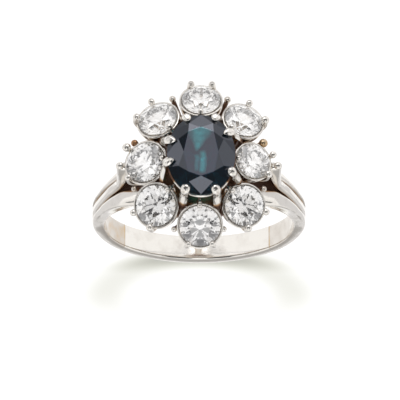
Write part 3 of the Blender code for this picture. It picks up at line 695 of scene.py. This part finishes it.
def add_prong(work, placement, turn, tip_share, ball_radius):
    outside = DIAMOND_RADIUS + 2 * STONE_CLEARANCE + PRONG_WIRE_RADIUS
    crown_slope = atan2(DIAMOND_CROWN, DIAMOND_RADIUS * (1.0 - DIAMOND_TABLE_SHARE))
    tip = tip_share * DIAMOND_RADIUS
    lift = (DIAMOND_GIRDLE / 2 - (tip - DIAMOND_RADIUS) * tan(crown_slope)
            + (ball_radius + STONE_CLEARANCE) / cos(crown_slope))
    lift = max(lift, ball_radius / 2)
    root_radius = cup_radius(PRONG_ROOT_DEPTH_SHARE)
    bend_radius = (cup_radius(PRONG_BEND_DEPTH_SHARE)
                   + PRONG_BEND_OUTSET_SHARE * PRONG_WIRE_RADIUS)
    stops = ((root_radius, -PRONG_ROOT_DEPTH_SHARE * CUP_DEPTH),
             (bend_radius, -PRONG_BEND_DEPTH_SHARE * CUP_DEPTH),
             (outside + max(tip - outside, 0.0) / 2, DIAMOND_GIRDLE / 2),
             (tip, lift))
    route = smooth_path([placement @ Vector((radius * cos(turn), radius * sin(turn), height))
                         for radius, height in stops], PRONG_STEPS)
    count = len(route)
    radii = [PRONG_WIRE_RADIUS * (1.0 + PRONG_THICKENING * index / count)
             for index in range(count)]
    # Painted shade, deepest where the prong leaves the cup and fading up the wire
    dark = [PRONG_SHADE * max(0.0, 1.0 - PRONG_SHADE_FADE * index / count)
            for index in range(count)]
    work.wire(route, radii, dark)
    axis = (route[-1] - route[-3]).normalized()
    work.ball(route[-1], ball_radius, axis, 0.0)


def make_cups(metal):
    work = Metalwork()
    outline = cup_outline()
    for place in cup_places():
        work.turned(outline, cup_matrix(*place))
    work.piece("cups", metal)


def make_prongs(metal):
    work = Metalwork()
    for place, prongs in zip(cup_places(), PRONG_ROWS):
        placement = cup_matrix(*place)
        for turn, tip_share, size in prongs:
            add_prong(work, placement, radians(turn), tip_share, size * PRONG_BALL_RADIUS)
    work.piece("prongs", metal)


# Rails, posts and claws

def oval_point(half_width, half_length, height, angle):
    return Vector((half_width * cos(angle), half_length * sin(angle), height))


def oval_normal(half_width, half_length, angle):
    return Vector((cos(angle) / half_width, sin(angle) / half_length, 0.0)).normalized()


def girdle_point(outset, height, angle):
    return X_AXIS * SAPPHIRE_ACROSS + oval_point(
        SAPPHIRE_HALF_WIDTH + outset, SAPPHIRE_HALF_LENGTH + outset, height, angle)


def foot_oval():
    drift = CUP_DEPTH * sin(CUP_TILT)
    return CUP_RING_HALF_WIDTH - drift, CUP_RING_HALF_LENGTH - drift


def base_rail_height():
    return CUP_RING_HEIGHT - CUP_DEPTH * cos(CUP_TILT) - BASE_RAIL_SINK


def rail_tone(degree):
    """Tone of the seat rail: painted shade, brown, all round, left off on spans along its
    front.
    """
    tone = SEAT_RAIL_SHADE
    for middle, half_span in SEAT_RAIL_UNSHADED_ROWS:
        aside = abs(degree - middle) - half_span
        unshaded = clamp(aside / SEAT_RAIL_UNSHADED_FADE)
        tone = min(tone, SEAT_RAIL_UNSHADED_TONE
                   + (SEAT_RAIL_SHADE - SEAT_RAIL_UNSHADED_TONE) * unshaded)
    return tone


def make_rails(metal):
    work = Metalwork()
    half_width, half_length = foot_oval()
    # The base rail, deep under the head, is painted with shade, darkest on its top
    foot_tone, side_tone, top_tone = BASE_RAIL_SHADE
    half, deep = BASE_RAIL_WIDTH / 2, BASE_RAIL_DEPTH / 2
    near, low = BASE_RAIL_SHOULDER_SHARE * half, BASE_RAIL_SHOULDER_SHARE * deep
    outline = cut_corners([
        (half, -deep, foot_tone), (half, low, side_tone), (near, deep, top_tone),
        (-near, deep, top_tone), (-half, low, side_tone), (-half, -deep, foot_tone)])
    turns = [2 * pi * corner / RAIL_CORNERS for corner in range(RAIL_CORNERS)]
    base_rail = []
    seat_rail = []
    for station in range(RAIL_STATIONS):
        angle = 2 * pi * station / RAIL_STATIONS
        point = oval_point(half_width, half_length, base_rail_height(), angle)
        normal = oval_normal(half_width, half_length, angle)
        base_rail.append([(point + normal * out + Z_AXIS * up, dark)
                          for out, up, dark in outline])
        point = girdle_point(SEAT_RAIL_OUTSET, SAPPHIRE_HEIGHT - SEAT_RAIL_DROP, angle)
        normal = oval_normal(SAPPHIRE_HALF_WIDTH, SAPPHIRE_HALF_LENGTH, angle)
        # Painted shade on the seat rail, left off along its front
        tone = rail_tone(360.0 * station / RAIL_STATIONS)
        seat_rail.append([(point + SEAT_RAIL_RADIUS * (normal * cos(turn)
                                                       + Z_AXIS * sin(turn)), tone)
                          for turn in turns])
    work.loft(base_rail, closed=True)
    work.loft(seat_rail, closed=True)
    for degree, reach, thickness, stem_tone, ball_tone in POST_ROWS:
        angle = radians(degree)
        foot = oval_point(half_width, half_length, base_rail_height(), angle)
        top = oval_point(CUP_RING_HALF_WIDTH + reach * POST_REACH,
                         CUP_RING_HALF_LENGTH + reach * POST_REACH_ALONG,
                         CUP_RING_HEIGHT - CUP_RIM_RADIUS * sin(CUP_TILT), angle)
        route = [foot.lerp(top, step / POST_STEPS) for step in range(POST_STEPS + 1)]
        # Painted shade, full at the post's foot and fading up to the stem's own level
        work.wire(route, [thickness * POST_WIRE_RADIUS] * len(route),
                  [max(stem_tone, 1.0 - step / POST_SHADE_STEPS)
                   for step in range(len(route))])
        work.ball(top, max(1.0, POST_BALL_SHARE * thickness) * POST_BALL_RADIUS,
                  (top - foot).normalized(), ball_tone)
    work.piece("rails_and_posts", metal)


def add_claw(work, root_angle, tip_angle, tip_reach, tip_share, dimple):
    half_width, half_length = foot_oval()
    foot = oval_point(half_width, half_length, base_rail_height(), root_angle)
    girdle = girdle_point(0.0, SAPPHIRE_HEIGHT + SAPPHIRE_GIRDLE / 2, tip_angle)
    normal = oval_normal(SAPPHIRE_HALF_WIDTH, SAPPHIRE_HALF_LENGTH, tip_angle)
    table_reach = SAPPHIRE_TABLE_SHARE * SAPPHIRE_HALF_WIDTH
    slope = SAPPHIRE_CROWN / (SAPPHIRE_HALF_WIDTH - table_reach)
    standoff = CLAW_THICKNESS / 2 + STONE_CLEARANCE
    gap = girdle_point(CLAW_GAP_OUTSET, SAPPHIRE_HEIGHT - CLAW_GAP_DROP, root_angle)
    stops = [foot.lerp(gap, share) for share in CLAW_LEG_SHARES]
    for outset, rise in CLAW_HEAD_ROWS:
        outset = outset * tip_reach if outset < 0.0 else outset
        crown_height = max(-outset, 0.0) * slope
        stops.append(girdle + standoff * (normal * outset + Z_AXIS * (rise + crown_height)))
    route = smooth_path(stops, CLAW_STEPS)
    for _ in range(CLAW_SMOOTHING):
        between = [(before + 2 * here + after) / 4
                   for before, here, after in zip(route, route[1:], route[2:])]
        route = [route[0], *between, route[-1]]
    across = Z_AXIS.cross(normal)
    rings = []
    last = len(route) - 1
    tip_length = CLAW_TIP_LEGS * CLAW_STEPS
    dimple_place = (len(CLAW_LEG_SHARES) + DIMPLE_PLACE_LEGS) * CLAW_STEPS
    for index, (point, along) in enumerate(zip(route, directions(route))):
        face = across.cross(along).normalized()
        if face.dot(normal + Z_AXIS) < 0.0:
            face = -face
        to_tip = max(0.0, (index - (last - tip_length)) / tip_length)
        closing = max(CLAW_TIP_CLOSING, 1.0 - to_tip ** 3) ** 0.5
        width = CLAW_WIDTH * (1.0 - (1.0 - tip_share) * to_tip) * closing
        depth = CLAW_THICKNESS * (1.0 - (1.0 - CLAW_TIP_THICKNESS_SHARE) * to_tip) * closing
        # Painted shade at the claw's root, on its back and sides, and in its dimple
        dark = CLAW_ROOT_SHADE * clamp((CLAW_ROOT_SHARE - index / last)
                                         / CLAW_ROOT_FADE_SHARE)
        ring = bar_section(point, across, face, width, depth, max(dark, CLAW_SIDE_SHADE),
                           dark, CLAW_ROUNDING_SHARE)
        beyond = (index - dimple_place) / (DIMPLE_LENGTH_LEGS * CLAW_STEPS)
        nearness = dimple * exp(-beyond ** 2)
        dented = []
        for spot, tone in ring:
            aside = (spot - point).dot(across) / (DIMPLE_BREADTH_SHARE * CLAW_WIDTH)
            front = (spot - point).dot(face) > DIMPLE_FRONT_SHARE * depth
            dent = nearness * exp(-aside ** 2) if front else 0.0
            dented.append((spot - face * DIMPLE_DEPTH * dent,
                           max(tone, DIMPLE_SHADE * dent)))
        rings.append(dented)
    work.loft(rings)


def make_claws(metal):
    work = Metalwork()
    for root, tip, tip_reach, tip_share, dimple in CLAW_ROWS:
        add_claw(work, radians(root), radians(tip), tip_reach, tip_share, dimple)
    work.piece("claws", metal)


# Materials

def new_material(name):
    material = bpy.data.materials.new(name)
    material.use_nodes = True
    tree = material.node_tree
    return material, tree, tree.nodes["Principled BSDF"]


def set_inputs(node, values):
    """Constant values of a node's inputs, by name."""
    for name, value in values.items():
        node.inputs[name].default_value = value


def object_place(tree):
    return tree.nodes.new("ShaderNodeTexCoord").outputs["Object"]


def noise(tree, vector, scale, detail):
    node = tree.nodes.new("ShaderNodeTexNoise")
    set_inputs(node, {"Scale": scale, "Detail": detail})
    tree.links.new(vector, node.inputs["Vector"])
    return node.outputs["Fac"]


def ramp(tree, factor, stops):
    """Colours by position; between two stops they blend evenly."""
    node = tree.nodes.new("ShaderNodeValToRGB")
    elements = node.color_ramp.elements
    while len(elements) < len(stops):
        elements.new(0.5)
    for element, (position, colour) in zip(elements, stops):
        element.position = position
        element.color = (*colour, 1.0)
    tree.links.new(factor, node.inputs["Fac"])
    return node.outputs["Color"]


def blend(tree, factor, first, second):
    """Mix of two colours; each is a socket or three numbers."""
    node = tree.nodes.new("ShaderNodeMix")
    node.data_type = 'RGBA'
    tree.links.new(factor, node.inputs["Factor"])
    for name, value in (("A", first), ("B", second)):
        if isinstance(value, tuple):
            node.inputs[name].default_value = (*value, 1.0)
        else:
            tree.links.new(value, node.inputs[name])
    return node.outputs["Result"]


def math_node(tree, operation, *values, clamped=False):
    """One math node; values are sockets or numbers."""
    node = tree.nodes.new("ShaderNodeMath")
    node.operation = operation
    node.use_clamp = clamped
    for index, value in enumerate(values):
        if isinstance(value, (int, float)):
            node.inputs[index].default_value = value
        else:
            tree.links.new(value, node.inputs[index])
    return node.outputs["Value"]


def map_range(tree, value, low, high, start, end, interpolation='LINEAR'):
    """A socket's values from low to high turned into start to end, and held beyond."""
    node = tree.nodes.new("ShaderNodeMapRange")
    node.interpolation_type = interpolation
    set_inputs(node, {"From Min": low, "From Max": high, "To Min": start, "To Max": end})
    tree.links.new(value, node.inputs["Value"])
    return node.outputs["Result"]


def fade(tree, value, start, end):
    """1 at one value of a socket, smoothly down to 0 at another."""
    return map_range(tree, value, start, end, 1.0, 0.0, 'SMOOTHSTEP')


def metal_material():
    """Polished white gold with painted shade, dark brown, in its recesses, darker solder
    seams and fine polishing marks.
    """
    material, tree, shader = new_material("white_metal_polished")
    links = tree.links
    place = object_place(tree)
    blotches = noise(tree, place, *BLOTCH_NOISE)
    marks = noise(tree, place, *MARK_NOISE)
    shade_and_tarnish = tree.nodes.new("ShaderNodeAttribute")
    shade_and_tarnish.attribute_name = "shade_and_tarnish"
    uneven = math_node(tree, 'MULTIPLY_ADD', blotches, BLOTCH_SPREAD, -BLOTCH_SPREAD / 2)
    level = math_node(tree, 'ADD', shade_and_tarnish.outputs["Fac"], uneven, clamped=True)
    links.new(ramp(tree, level, METAL_TONES), shader.inputs["Base Color"])
    links.new(math_node(tree, 'MAXIMUM', map_range(tree, blotches, *GLOSS_RANGE),
                        map_range(tree, level, *DULL_RANGE)), shader.inputs["Roughness"])
    # Deep painted shade is made less metallic
    links.new(map_range(tree, level, *SHADE_METALLIC_RANGE), shader.inputs["Metallic"])
    bump = tree.nodes.new("ShaderNodeBump")
    set_inputs(bump, {"Strength": MARK_STRENGTH, "Distance": MARK_HEIGHT})
    links.new(marks, bump.inputs["Height"])
    links.new(bump.outputs["Normal"], shader.inputs["Normal"])
    return material


def diamond_material(name, roughness, tones, glow=0.0):
    """Clear stone with faint clouds of tone, and a painted glow that adds light of its own.
    """
    material, tree, shader = new_material(name)
    clouds = noise(tree, object_place(tree), *DIAMOND_NOISE)
    tree.links.new(ramp(tree, clouds, tones), shader.inputs["Base Color"])
    set_inputs(shader, {"Transmission Weight": 1.0, "Roughness": roughness,
                        "IOR": DIAMOND_IOR, "Emission Color": (*GLOW_COLOUR, 1.0),
                        "Emission Strength": glow})
    return material


def teal_zone(tree, across, along, row):
    """1 within one teal zone of the table, fading towards its sides and ends."""
    low, high, middle_low, middle_high, half_low, half_high, strength = row
    share = math_node(tree, 'MULTIPLY', math_node(tree, 'SUBTRACT', along, low),
                      1.0 / (high - low))
    middle = math_node(tree, 'MULTIPLY_ADD', share, middle_high - middle_low,
                       middle_low + TEAL_WOBBLE / 2)
    half = math_node(tree, 'MAXIMUM', math_node(
        tree, 'MULTIPLY_ADD', share, half_high - half_low, half_low), TEAL_LEAST_HALF)
    aside = math_node(tree, 'ABSOLUTE', math_node(tree, 'SUBTRACT', across, middle))
    narrow = fade(tree, math_node(tree, 'DIVIDE', aside, half), *TEAL_SIDE_FADE)
    above = math_node(tree, 'ABSOLUTE', math_node(tree, 'SUBTRACT', along, (low + high) / 2))
    short = fade(tree, above, *(end * (high - low) for end in TEAL_END_FADE))
    return math_node(tree, 'MULTIPLY', math_node(tree, 'MULTIPLY', narrow, short), strength)


def sapphire_material():
    """Dark slate blue stone with a soft teal zone along the middle of its table."""
    material, tree, shader = new_material("sapphire_dark")
    local = tree.nodes.new("ShaderNodeMapping")
    local.vector_type = 'TEXTURE'
    set_inputs(local, {
        "Location": RING_AXES @ Vector((SAPPHIRE_ACROSS, 0.0, SAPPHIRE_HEIGHT)),
        "Rotation": RING_AXES.to_euler(),
        "Scale": (SAPPHIRE_HALF_WIDTH, SAPPHIRE_HALF_LENGTH, SAPPHIRE_HALF_WIDTH)})
    tree.links.new(object_place(tree), local.inputs["Vector"])
    place = local.outputs["Vector"]
    split = tree.nodes.new("ShaderNodeSeparateXYZ")
    tree.links.new(place, split.inputs["Vector"])
    across, along, height = (split.outputs[axis] for axis in ("X", "Y", "Z"))
    shifted = math_node(tree, 'MULTIPLY_ADD', noise(tree, place, *TEAL_WOBBLE_NOISE),
                        TEAL_WOBBLE, across)
    grain = noise(tree, place, *TEAL_GRAIN_NOISE)
    zone, *others = (teal_zone(tree, shifted, along, row) for row in TEAL_ZONES)
    for other in others:
        zone = math_node(tree, 'MAXIMUM', zone, other)
    mottled = math_node(tree, 'MULTIPLY', zone,
                        math_node(tree, 'MULTIPLY_ADD', grain, *TEAL_GRAIN))
    table = fade(tree, height, *TABLE_FADE)
    crown = blend(tree, table, CROWN_COLOUR, ramp(tree, grain, SLATE_TONES))
    upper = blend(tree, math_node(tree, 'MULTIPLY', mottled, table), crown, TEAL_COLOUR)
    colour = blend(tree, fade(tree, height, *PAVILION_FADE), upper, PAVILION_COLOUR)
    tree.links.new(colour, shader.inputs["Base Color"])
    set_inputs(shader, {"Transmission Weight": SAPPHIRE_TRANSMISSION, "Roughness": 0.0,
                        "IOR": SAPPHIRE_IOR, "Specular Tint": (*SAPPHIRE_GLOSS, 1.0)})
    return material


def dress_stone(name, material):
    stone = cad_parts[name]
    for slot in stone.material_slots:
        slot.material = material


# Floor, light and camera

MM_PER_METRE = 1000.0
FLOOR_HALF_SIZE = 1.5
FLOOR_COLOUR = (0.25, 0.25, 0.25)
FLOOR_ROUGHNESS = 0.9
FLOOR_GLOW = 0.78

# Soft shade on the floor, an oval outline beyond the band: its centre's Y, half sizes,
# breadth as shares of them, least and added depth, where along Y it is deep and where it
# ends, and its tint
SHADE_CENTRE = 0.0226
SHADE_HALF_SIZE = (0.00885, 0.00683)
SHADE_BREADTH = (0.02, 0.38)
SHADE_DEPTHS = (0.21, 0.37)
SHADE_DEEP = (0.0156, 0.0186)
SHADE_END = (0.0210, 0.0275)
SHADE_TONES = ((0.0, (1.0, 1.0, 1.0)), (0.5, (0.985, 0.99, 0.78)))

# Studio walls: direction, cosines where the tone starts and is full, and its colour
STUDIO_BASE = (1.02, 1.01, 1.00)
STUDIO_TONES = (
    ((0.0, 1.0, 0.0), 0.55, 0.95, (0.46, 0.45, 0.44)),
    ((0.0, 0.0, 1.0), 0.5, 0.95, (0.95, 0.95, 0.95)),
    ((0.0, -0.350, 0.940), 0.81, 0.90, (0.04, 0.04, 0.045)),
    ((0.0, -0.815, 0.580), 0.965, 0.985, (0.03, 0.03, 0.03)),
)

# Cards that only reflections see: azimuths from the front and elevations, in degrees,
# and light
CARD_DISTANCE = 0.5
DARK_LEVEL = 0.12
CARD_ROWS = (
    ("dark_card", -48.0, 48.0, 8.0, 40.0, DARK_LEVEL),
    ("low_card_near_left", -58.0, -48.0, 8.0, 24.0, DARK_LEVEL),
    ("low_card_near_right", 48.0, 58.0, 8.0, 24.0, DARK_LEVEL),
    ("low_card_far_left", -80.0, -58.0, 8.0, 15.0, DARK_LEVEL),
    ("low_card_far_right", 58.0, 80.0, 8.0, 15.0, DARK_LEVEL),
    ("side_card_left", -79.0, -67.0, 29.0, 39.0, DARK_LEVEL),
    ("side_card_right", 67.0, 79.0, 29.0, 39.0, DARK_LEVEL),
    ("left_flag", -52.0, -14.0, 40.0, 68.0, DARK_LEVEL),
    ("right_flag", 14.0, 52.0, 40.0, 68.0, DARK_LEVEL),
    ("soft_box", -13.0, 13.0, 43.5, 62.0, 2.0),
    ("overhead", -180.0, 180.0, 68.5, 89.5, 1.25),
)

# Cards lying on the floor, for reflections alone: X and Y ranges in millimetres, and light
FLOOR_CARD_ROWS = (
    ("near_grey", -7.0, 7.0, -14.2, -12.0, 0.55),
    ("near_white", -3.8, 3.8, -20.0, -14.2, 1.60),
    ("white_strip", -6.5, 6.5, -29.0, -20.0, 3.0),
    ("left_grey", 5.0, 14.0, -24.0, -14.2, 0.60),
    ("right_grey", -14.0, -5.0, -24.0, -14.2, 1.00),
    ("left_dark", 10.0, 29.0, -56.0, -29.0, 0.15),
    ("right_dark", -29.0, -10.0, -56.0, -29.0, 0.45),
    ("left_white", 29.0, 62.0, -62.0, -32.0, 1.55),
    ("side_grey_left", 14.0, 62.0, -28.0, 30.0, 0.80),
    ("side_grey_right", -62.0, -14.0, -28.0, 30.0, 0.77),
    ("back_grey", -200.0, 200.0, 32.0, 300.0, 0.78),
    ("far_white", -40.0, 40.0, -400.0, -75.0, 1.25),
)
FLOOR_CARD_LIFT = 0.00004
FLOOR_CARD_COLOUR = (1.0, 0.99, 1.0)

# Lamps that only the floor sees: direction towards the lamp
LAMP_DIRECTIONS = ((-0.62, -0.62, 0.42), (0.62, -0.62, 0.42))
LAMP_SPREAD = radians(20.0)
LAMP_STRENGTH = 2.3

# Camera: the photograph's side and the ring's centre in pixels, and pixels per millimetre
PHOTO_SIDE = 400
PHOTO_SCALE = 11.1
PHOTO_CENTRE = (199.0, 215.8)
CAMERA_ELEVATION = radians(70.8)
CAMERA_DISTANCE = 0.350
SENSOR_WIDTH = 36.0
CLIP_NEAR = 0.01
CLIP_FAR = 20.0

# Light bounces in all, through the stones and off the metal
MAX_BOUNCES = 24
TRANSMISSION_BOUNCES = 20
GLOSSY_BOUNCES = 10


def make_floor():
    """White floor with the soft shade of the photograph painted on it."""
    bm = bmesh.new()
    bm.faces.new([bm.verts.new((x * FLOOR_HALF_SIZE, y * FLOOR_HALF_SIZE, 0.0))
                  for x, y in ((-1, -1), (1, -1), (1, 1), (-1, 1))])
    material, tree, shader = new_material("floor_white")
    set_inputs(shader, {"Base Color": (*FLOOR_COLOUR, 1.0), "Roughness": FLOOR_ROUGHNESS,
                        "Specular IOR Level": 0.0})
    split = tree.nodes.new("ShaderNodeSeparateXYZ")
    tree.links.new(object_place(tree), split.inputs["Vector"])
    across = math_node(tree, 'DIVIDE', split.outputs["X"], SHADE_HALF_SIZE[0])
    beyond = math_node(tree, 'DIVIDE', math_node(
        tree, 'SUBTRACT', split.outputs["Y"], SHADE_CENTRE), SHADE_HALF_SIZE[1])
    reach = math_node(tree, 'SQRT', math_node(
        tree, 'ADD', math_node(tree, 'MULTIPLY', across, across),
        math_node(tree, 'MULTIPLY', beyond, beyond)))
    aside = math_node(tree, 'ABSOLUTE', math_node(tree, 'SUBTRACT', reach, 1.0))
    depth = math_node(tree, 'MULTIPLY_ADD', fade(tree, split.outputs["Y"], *SHADE_DEEP),
                      SHADE_DEPTHS[1], SHADE_DEPTHS[0])
    shade = math_node(tree, 'MULTIPLY', depth, math_node(
        tree, 'MULTIPLY', fade(tree, aside, *SHADE_BREADTH),
        fade(tree, split.outputs["Y"], *SHADE_END)))
    tree.links.new(ramp(tree, shade, SHADE_TONES), shader.inputs["Emission Color"])
    tree.links.new(math_node(tree, 'SUBTRACT', FLOOR_GLOW, shade),
                   shader.inputs["Emission Strength"])
    floor = new_object("floor", finished_mesh(bm, "floor", material))


def ring_direction(across, along, up):
    return (RING_AXES.to_3x3() @ Vector((across, along, up))).normalized()


def add_lamps():
    for towards in LAMP_DIRECTIONS:
        light = bpy.data.lights.new("soft_side_light", 'SUN')
        light.angle = LAMP_SPREAD
        light.energy = LAMP_STRENGTH
        light.use_shadow = False
        lamp = new_object("soft_side_light", light)
        lamp.rotation_euler = Vector(towards).to_track_quat('Z', 'Y').to_euler()
        lamp.visible_glossy = False
        lamp.visible_transmission = False


def add_card(name, corners, level, colour=(1.0, 1.0, 1.0)):
    """Panel of even light that only glossy reflections see; corners come in rows of two."""
    bm = bmesh.new()
    rows = [[bm.verts.new(corner) for corner in pair] for pair in corners]
    for first, second in zip(rows, rows[1:]):
        bm.faces.new((first[0], second[0], second[1], first[1]))
    material, _, shader = new_material(name)
    set_inputs(shader, {"Base Color": (0.0, 0.0, 0.0, 1.0), "Specular IOR Level": 0.0,
                        "Emission Color": (*colour, 1.0), "Emission Strength": level})
    card = new_object(name, finished_mesh(bm, name, material))
    card.visible_camera = False
    card.visible_diffuse = False
    card.visible_transmission = False
    card.visible_shadow = False


def sky_point(azimuth, elevation):
    """Point of the cards' dome; the azimuth runs from the front of the ring."""
    level = cos(elevation)
    return CARD_DISTANCE * Vector((sin(azimuth) * level, -cos(azimuth) * level,
                                   sin(elevation)))


def make_cards():
    for name, left, right, low, high, level in CARD_ROWS:
        add_card(name, [[sky_point(radians(left + (right - left) * step / CARD_STEPS),
                                   radians(elevation)) for elevation in (low, high)]
                        for step in range(CARD_STEPS + 1)], level)
    for name, left, right, near, far, level in FLOOR_CARD_ROWS:
        add_card(name, [[Vector((x / MM_PER_METRE, y / MM_PER_METRE, FLOOR_CARD_LIFT))
                         for y in (near, far)] for x in (left, right)],
                 level, FLOOR_CARD_COLOUR)


def facing(tree, vector, direction, low, high):
    """0 to 1 as a direction turns towards another, between two cosines."""
    dot = tree.nodes.new("ShaderNodeVectorMath")
    dot.operation = 'DOT_PRODUCT'
    tree.links.new(vector, dot.inputs[0])
    dot.inputs[1].default_value = direction
    return map_range(tree, dot.outputs["Value"], low, high, 0.0, 1.0, 'SMOOTHSTEP')


def make_world():
    """Soft studio: STUDIO_TONES are blended one over the other by direction."""
    world = bpy.data.worlds.new("studio")
    bpy.context.scene.world = world
    world.use_nodes = True
    tree = world.node_tree
    place = tree.nodes.new("ShaderNodeTexCoord").outputs["Generated"]
    tone = STUDIO_BASE
    for direction, low, high, level in STUDIO_TONES:
        tone = blend(tree, facing(tree, place, direction, low, high), tone, level)
    tree.links.new(tone, tree.nodes["Background"].inputs["Color"])


def make_camera():
    towards = ring_direction(0.0, -cos(CAMERA_ELEVATION), sin(CAMERA_ELEVATION))
    right = ring_direction(1.0, 0.0, 0.0)
    up = towards.cross(right)
    aside, below = ((place - PHOTO_SIDE / 2) / PHOTO_SCALE / MM_PER_METRE
                    for place in PHOTO_CENTRE)
    camera_data = bpy.data.cameras.new("camera")
    camera_data.sensor_width = SENSOR_WIDTH
    camera_data.lens = (SENSOR_WIDTH * CAMERA_DISTANCE
                        / (PHOTO_SIDE / PHOTO_SCALE / MM_PER_METRE))
    camera_data.clip_start = CLIP_NEAR
    camera_data.clip_end = CLIP_FAR
    camera = new_object("camera", camera_data)
    turn = Matrix((right, up, towards)).transposed().to_4x4()
    spot = RING_CENTRE + towards * CAMERA_DISTANCE - right * aside + up * below
    camera.matrix_world = Matrix.Translation(spot) @ turn
    bpy.context.scene.camera = camera


metal = metal_material()
make_band(metal)
make_shoulders(metal)
make_cups(metal)
make_prongs(metal)
make_rails(metal)
make_claws(metal)
dress_stone("sapphire", sapphire_material())
# Lit and shaded copies of one diamond: the soft ones painted lighter with a painted glow,
# the deep one painted darker
clear = diamond_material("diamond_clear", 0.0, CLEAR_TONES)
soft_lit = diamond_material("diamond_soft_lit", SOFT_ROUGHNESS, SOFT_LIT_TONES, SOFT_PAINTED_GLOW)
deep = diamond_material("diamond_shaded", 0.0, SHADED_TONES)
for number in range(1, len(CUP_ROWS) + 1):
    look = soft_lit if number <= SOFT_LIT_DIAMONDS else deep if number == SHADED_DIAMOND else clear
    dress_stone(f"diamond_{number}", look)
make_floor()
make_world()
make_camera()
make_cards()
add_lamps()
scene = bpy.context.scene
scene.view_settings.view_transform = 'Standard'
scene.cycles.max_bounces = MAX_BOUNCES
scene.cycles.transmission_bounces = TRANSMISSION_BOUNCES
scene.cycles.glossy_bounces = GLOSSY_BOUNCES
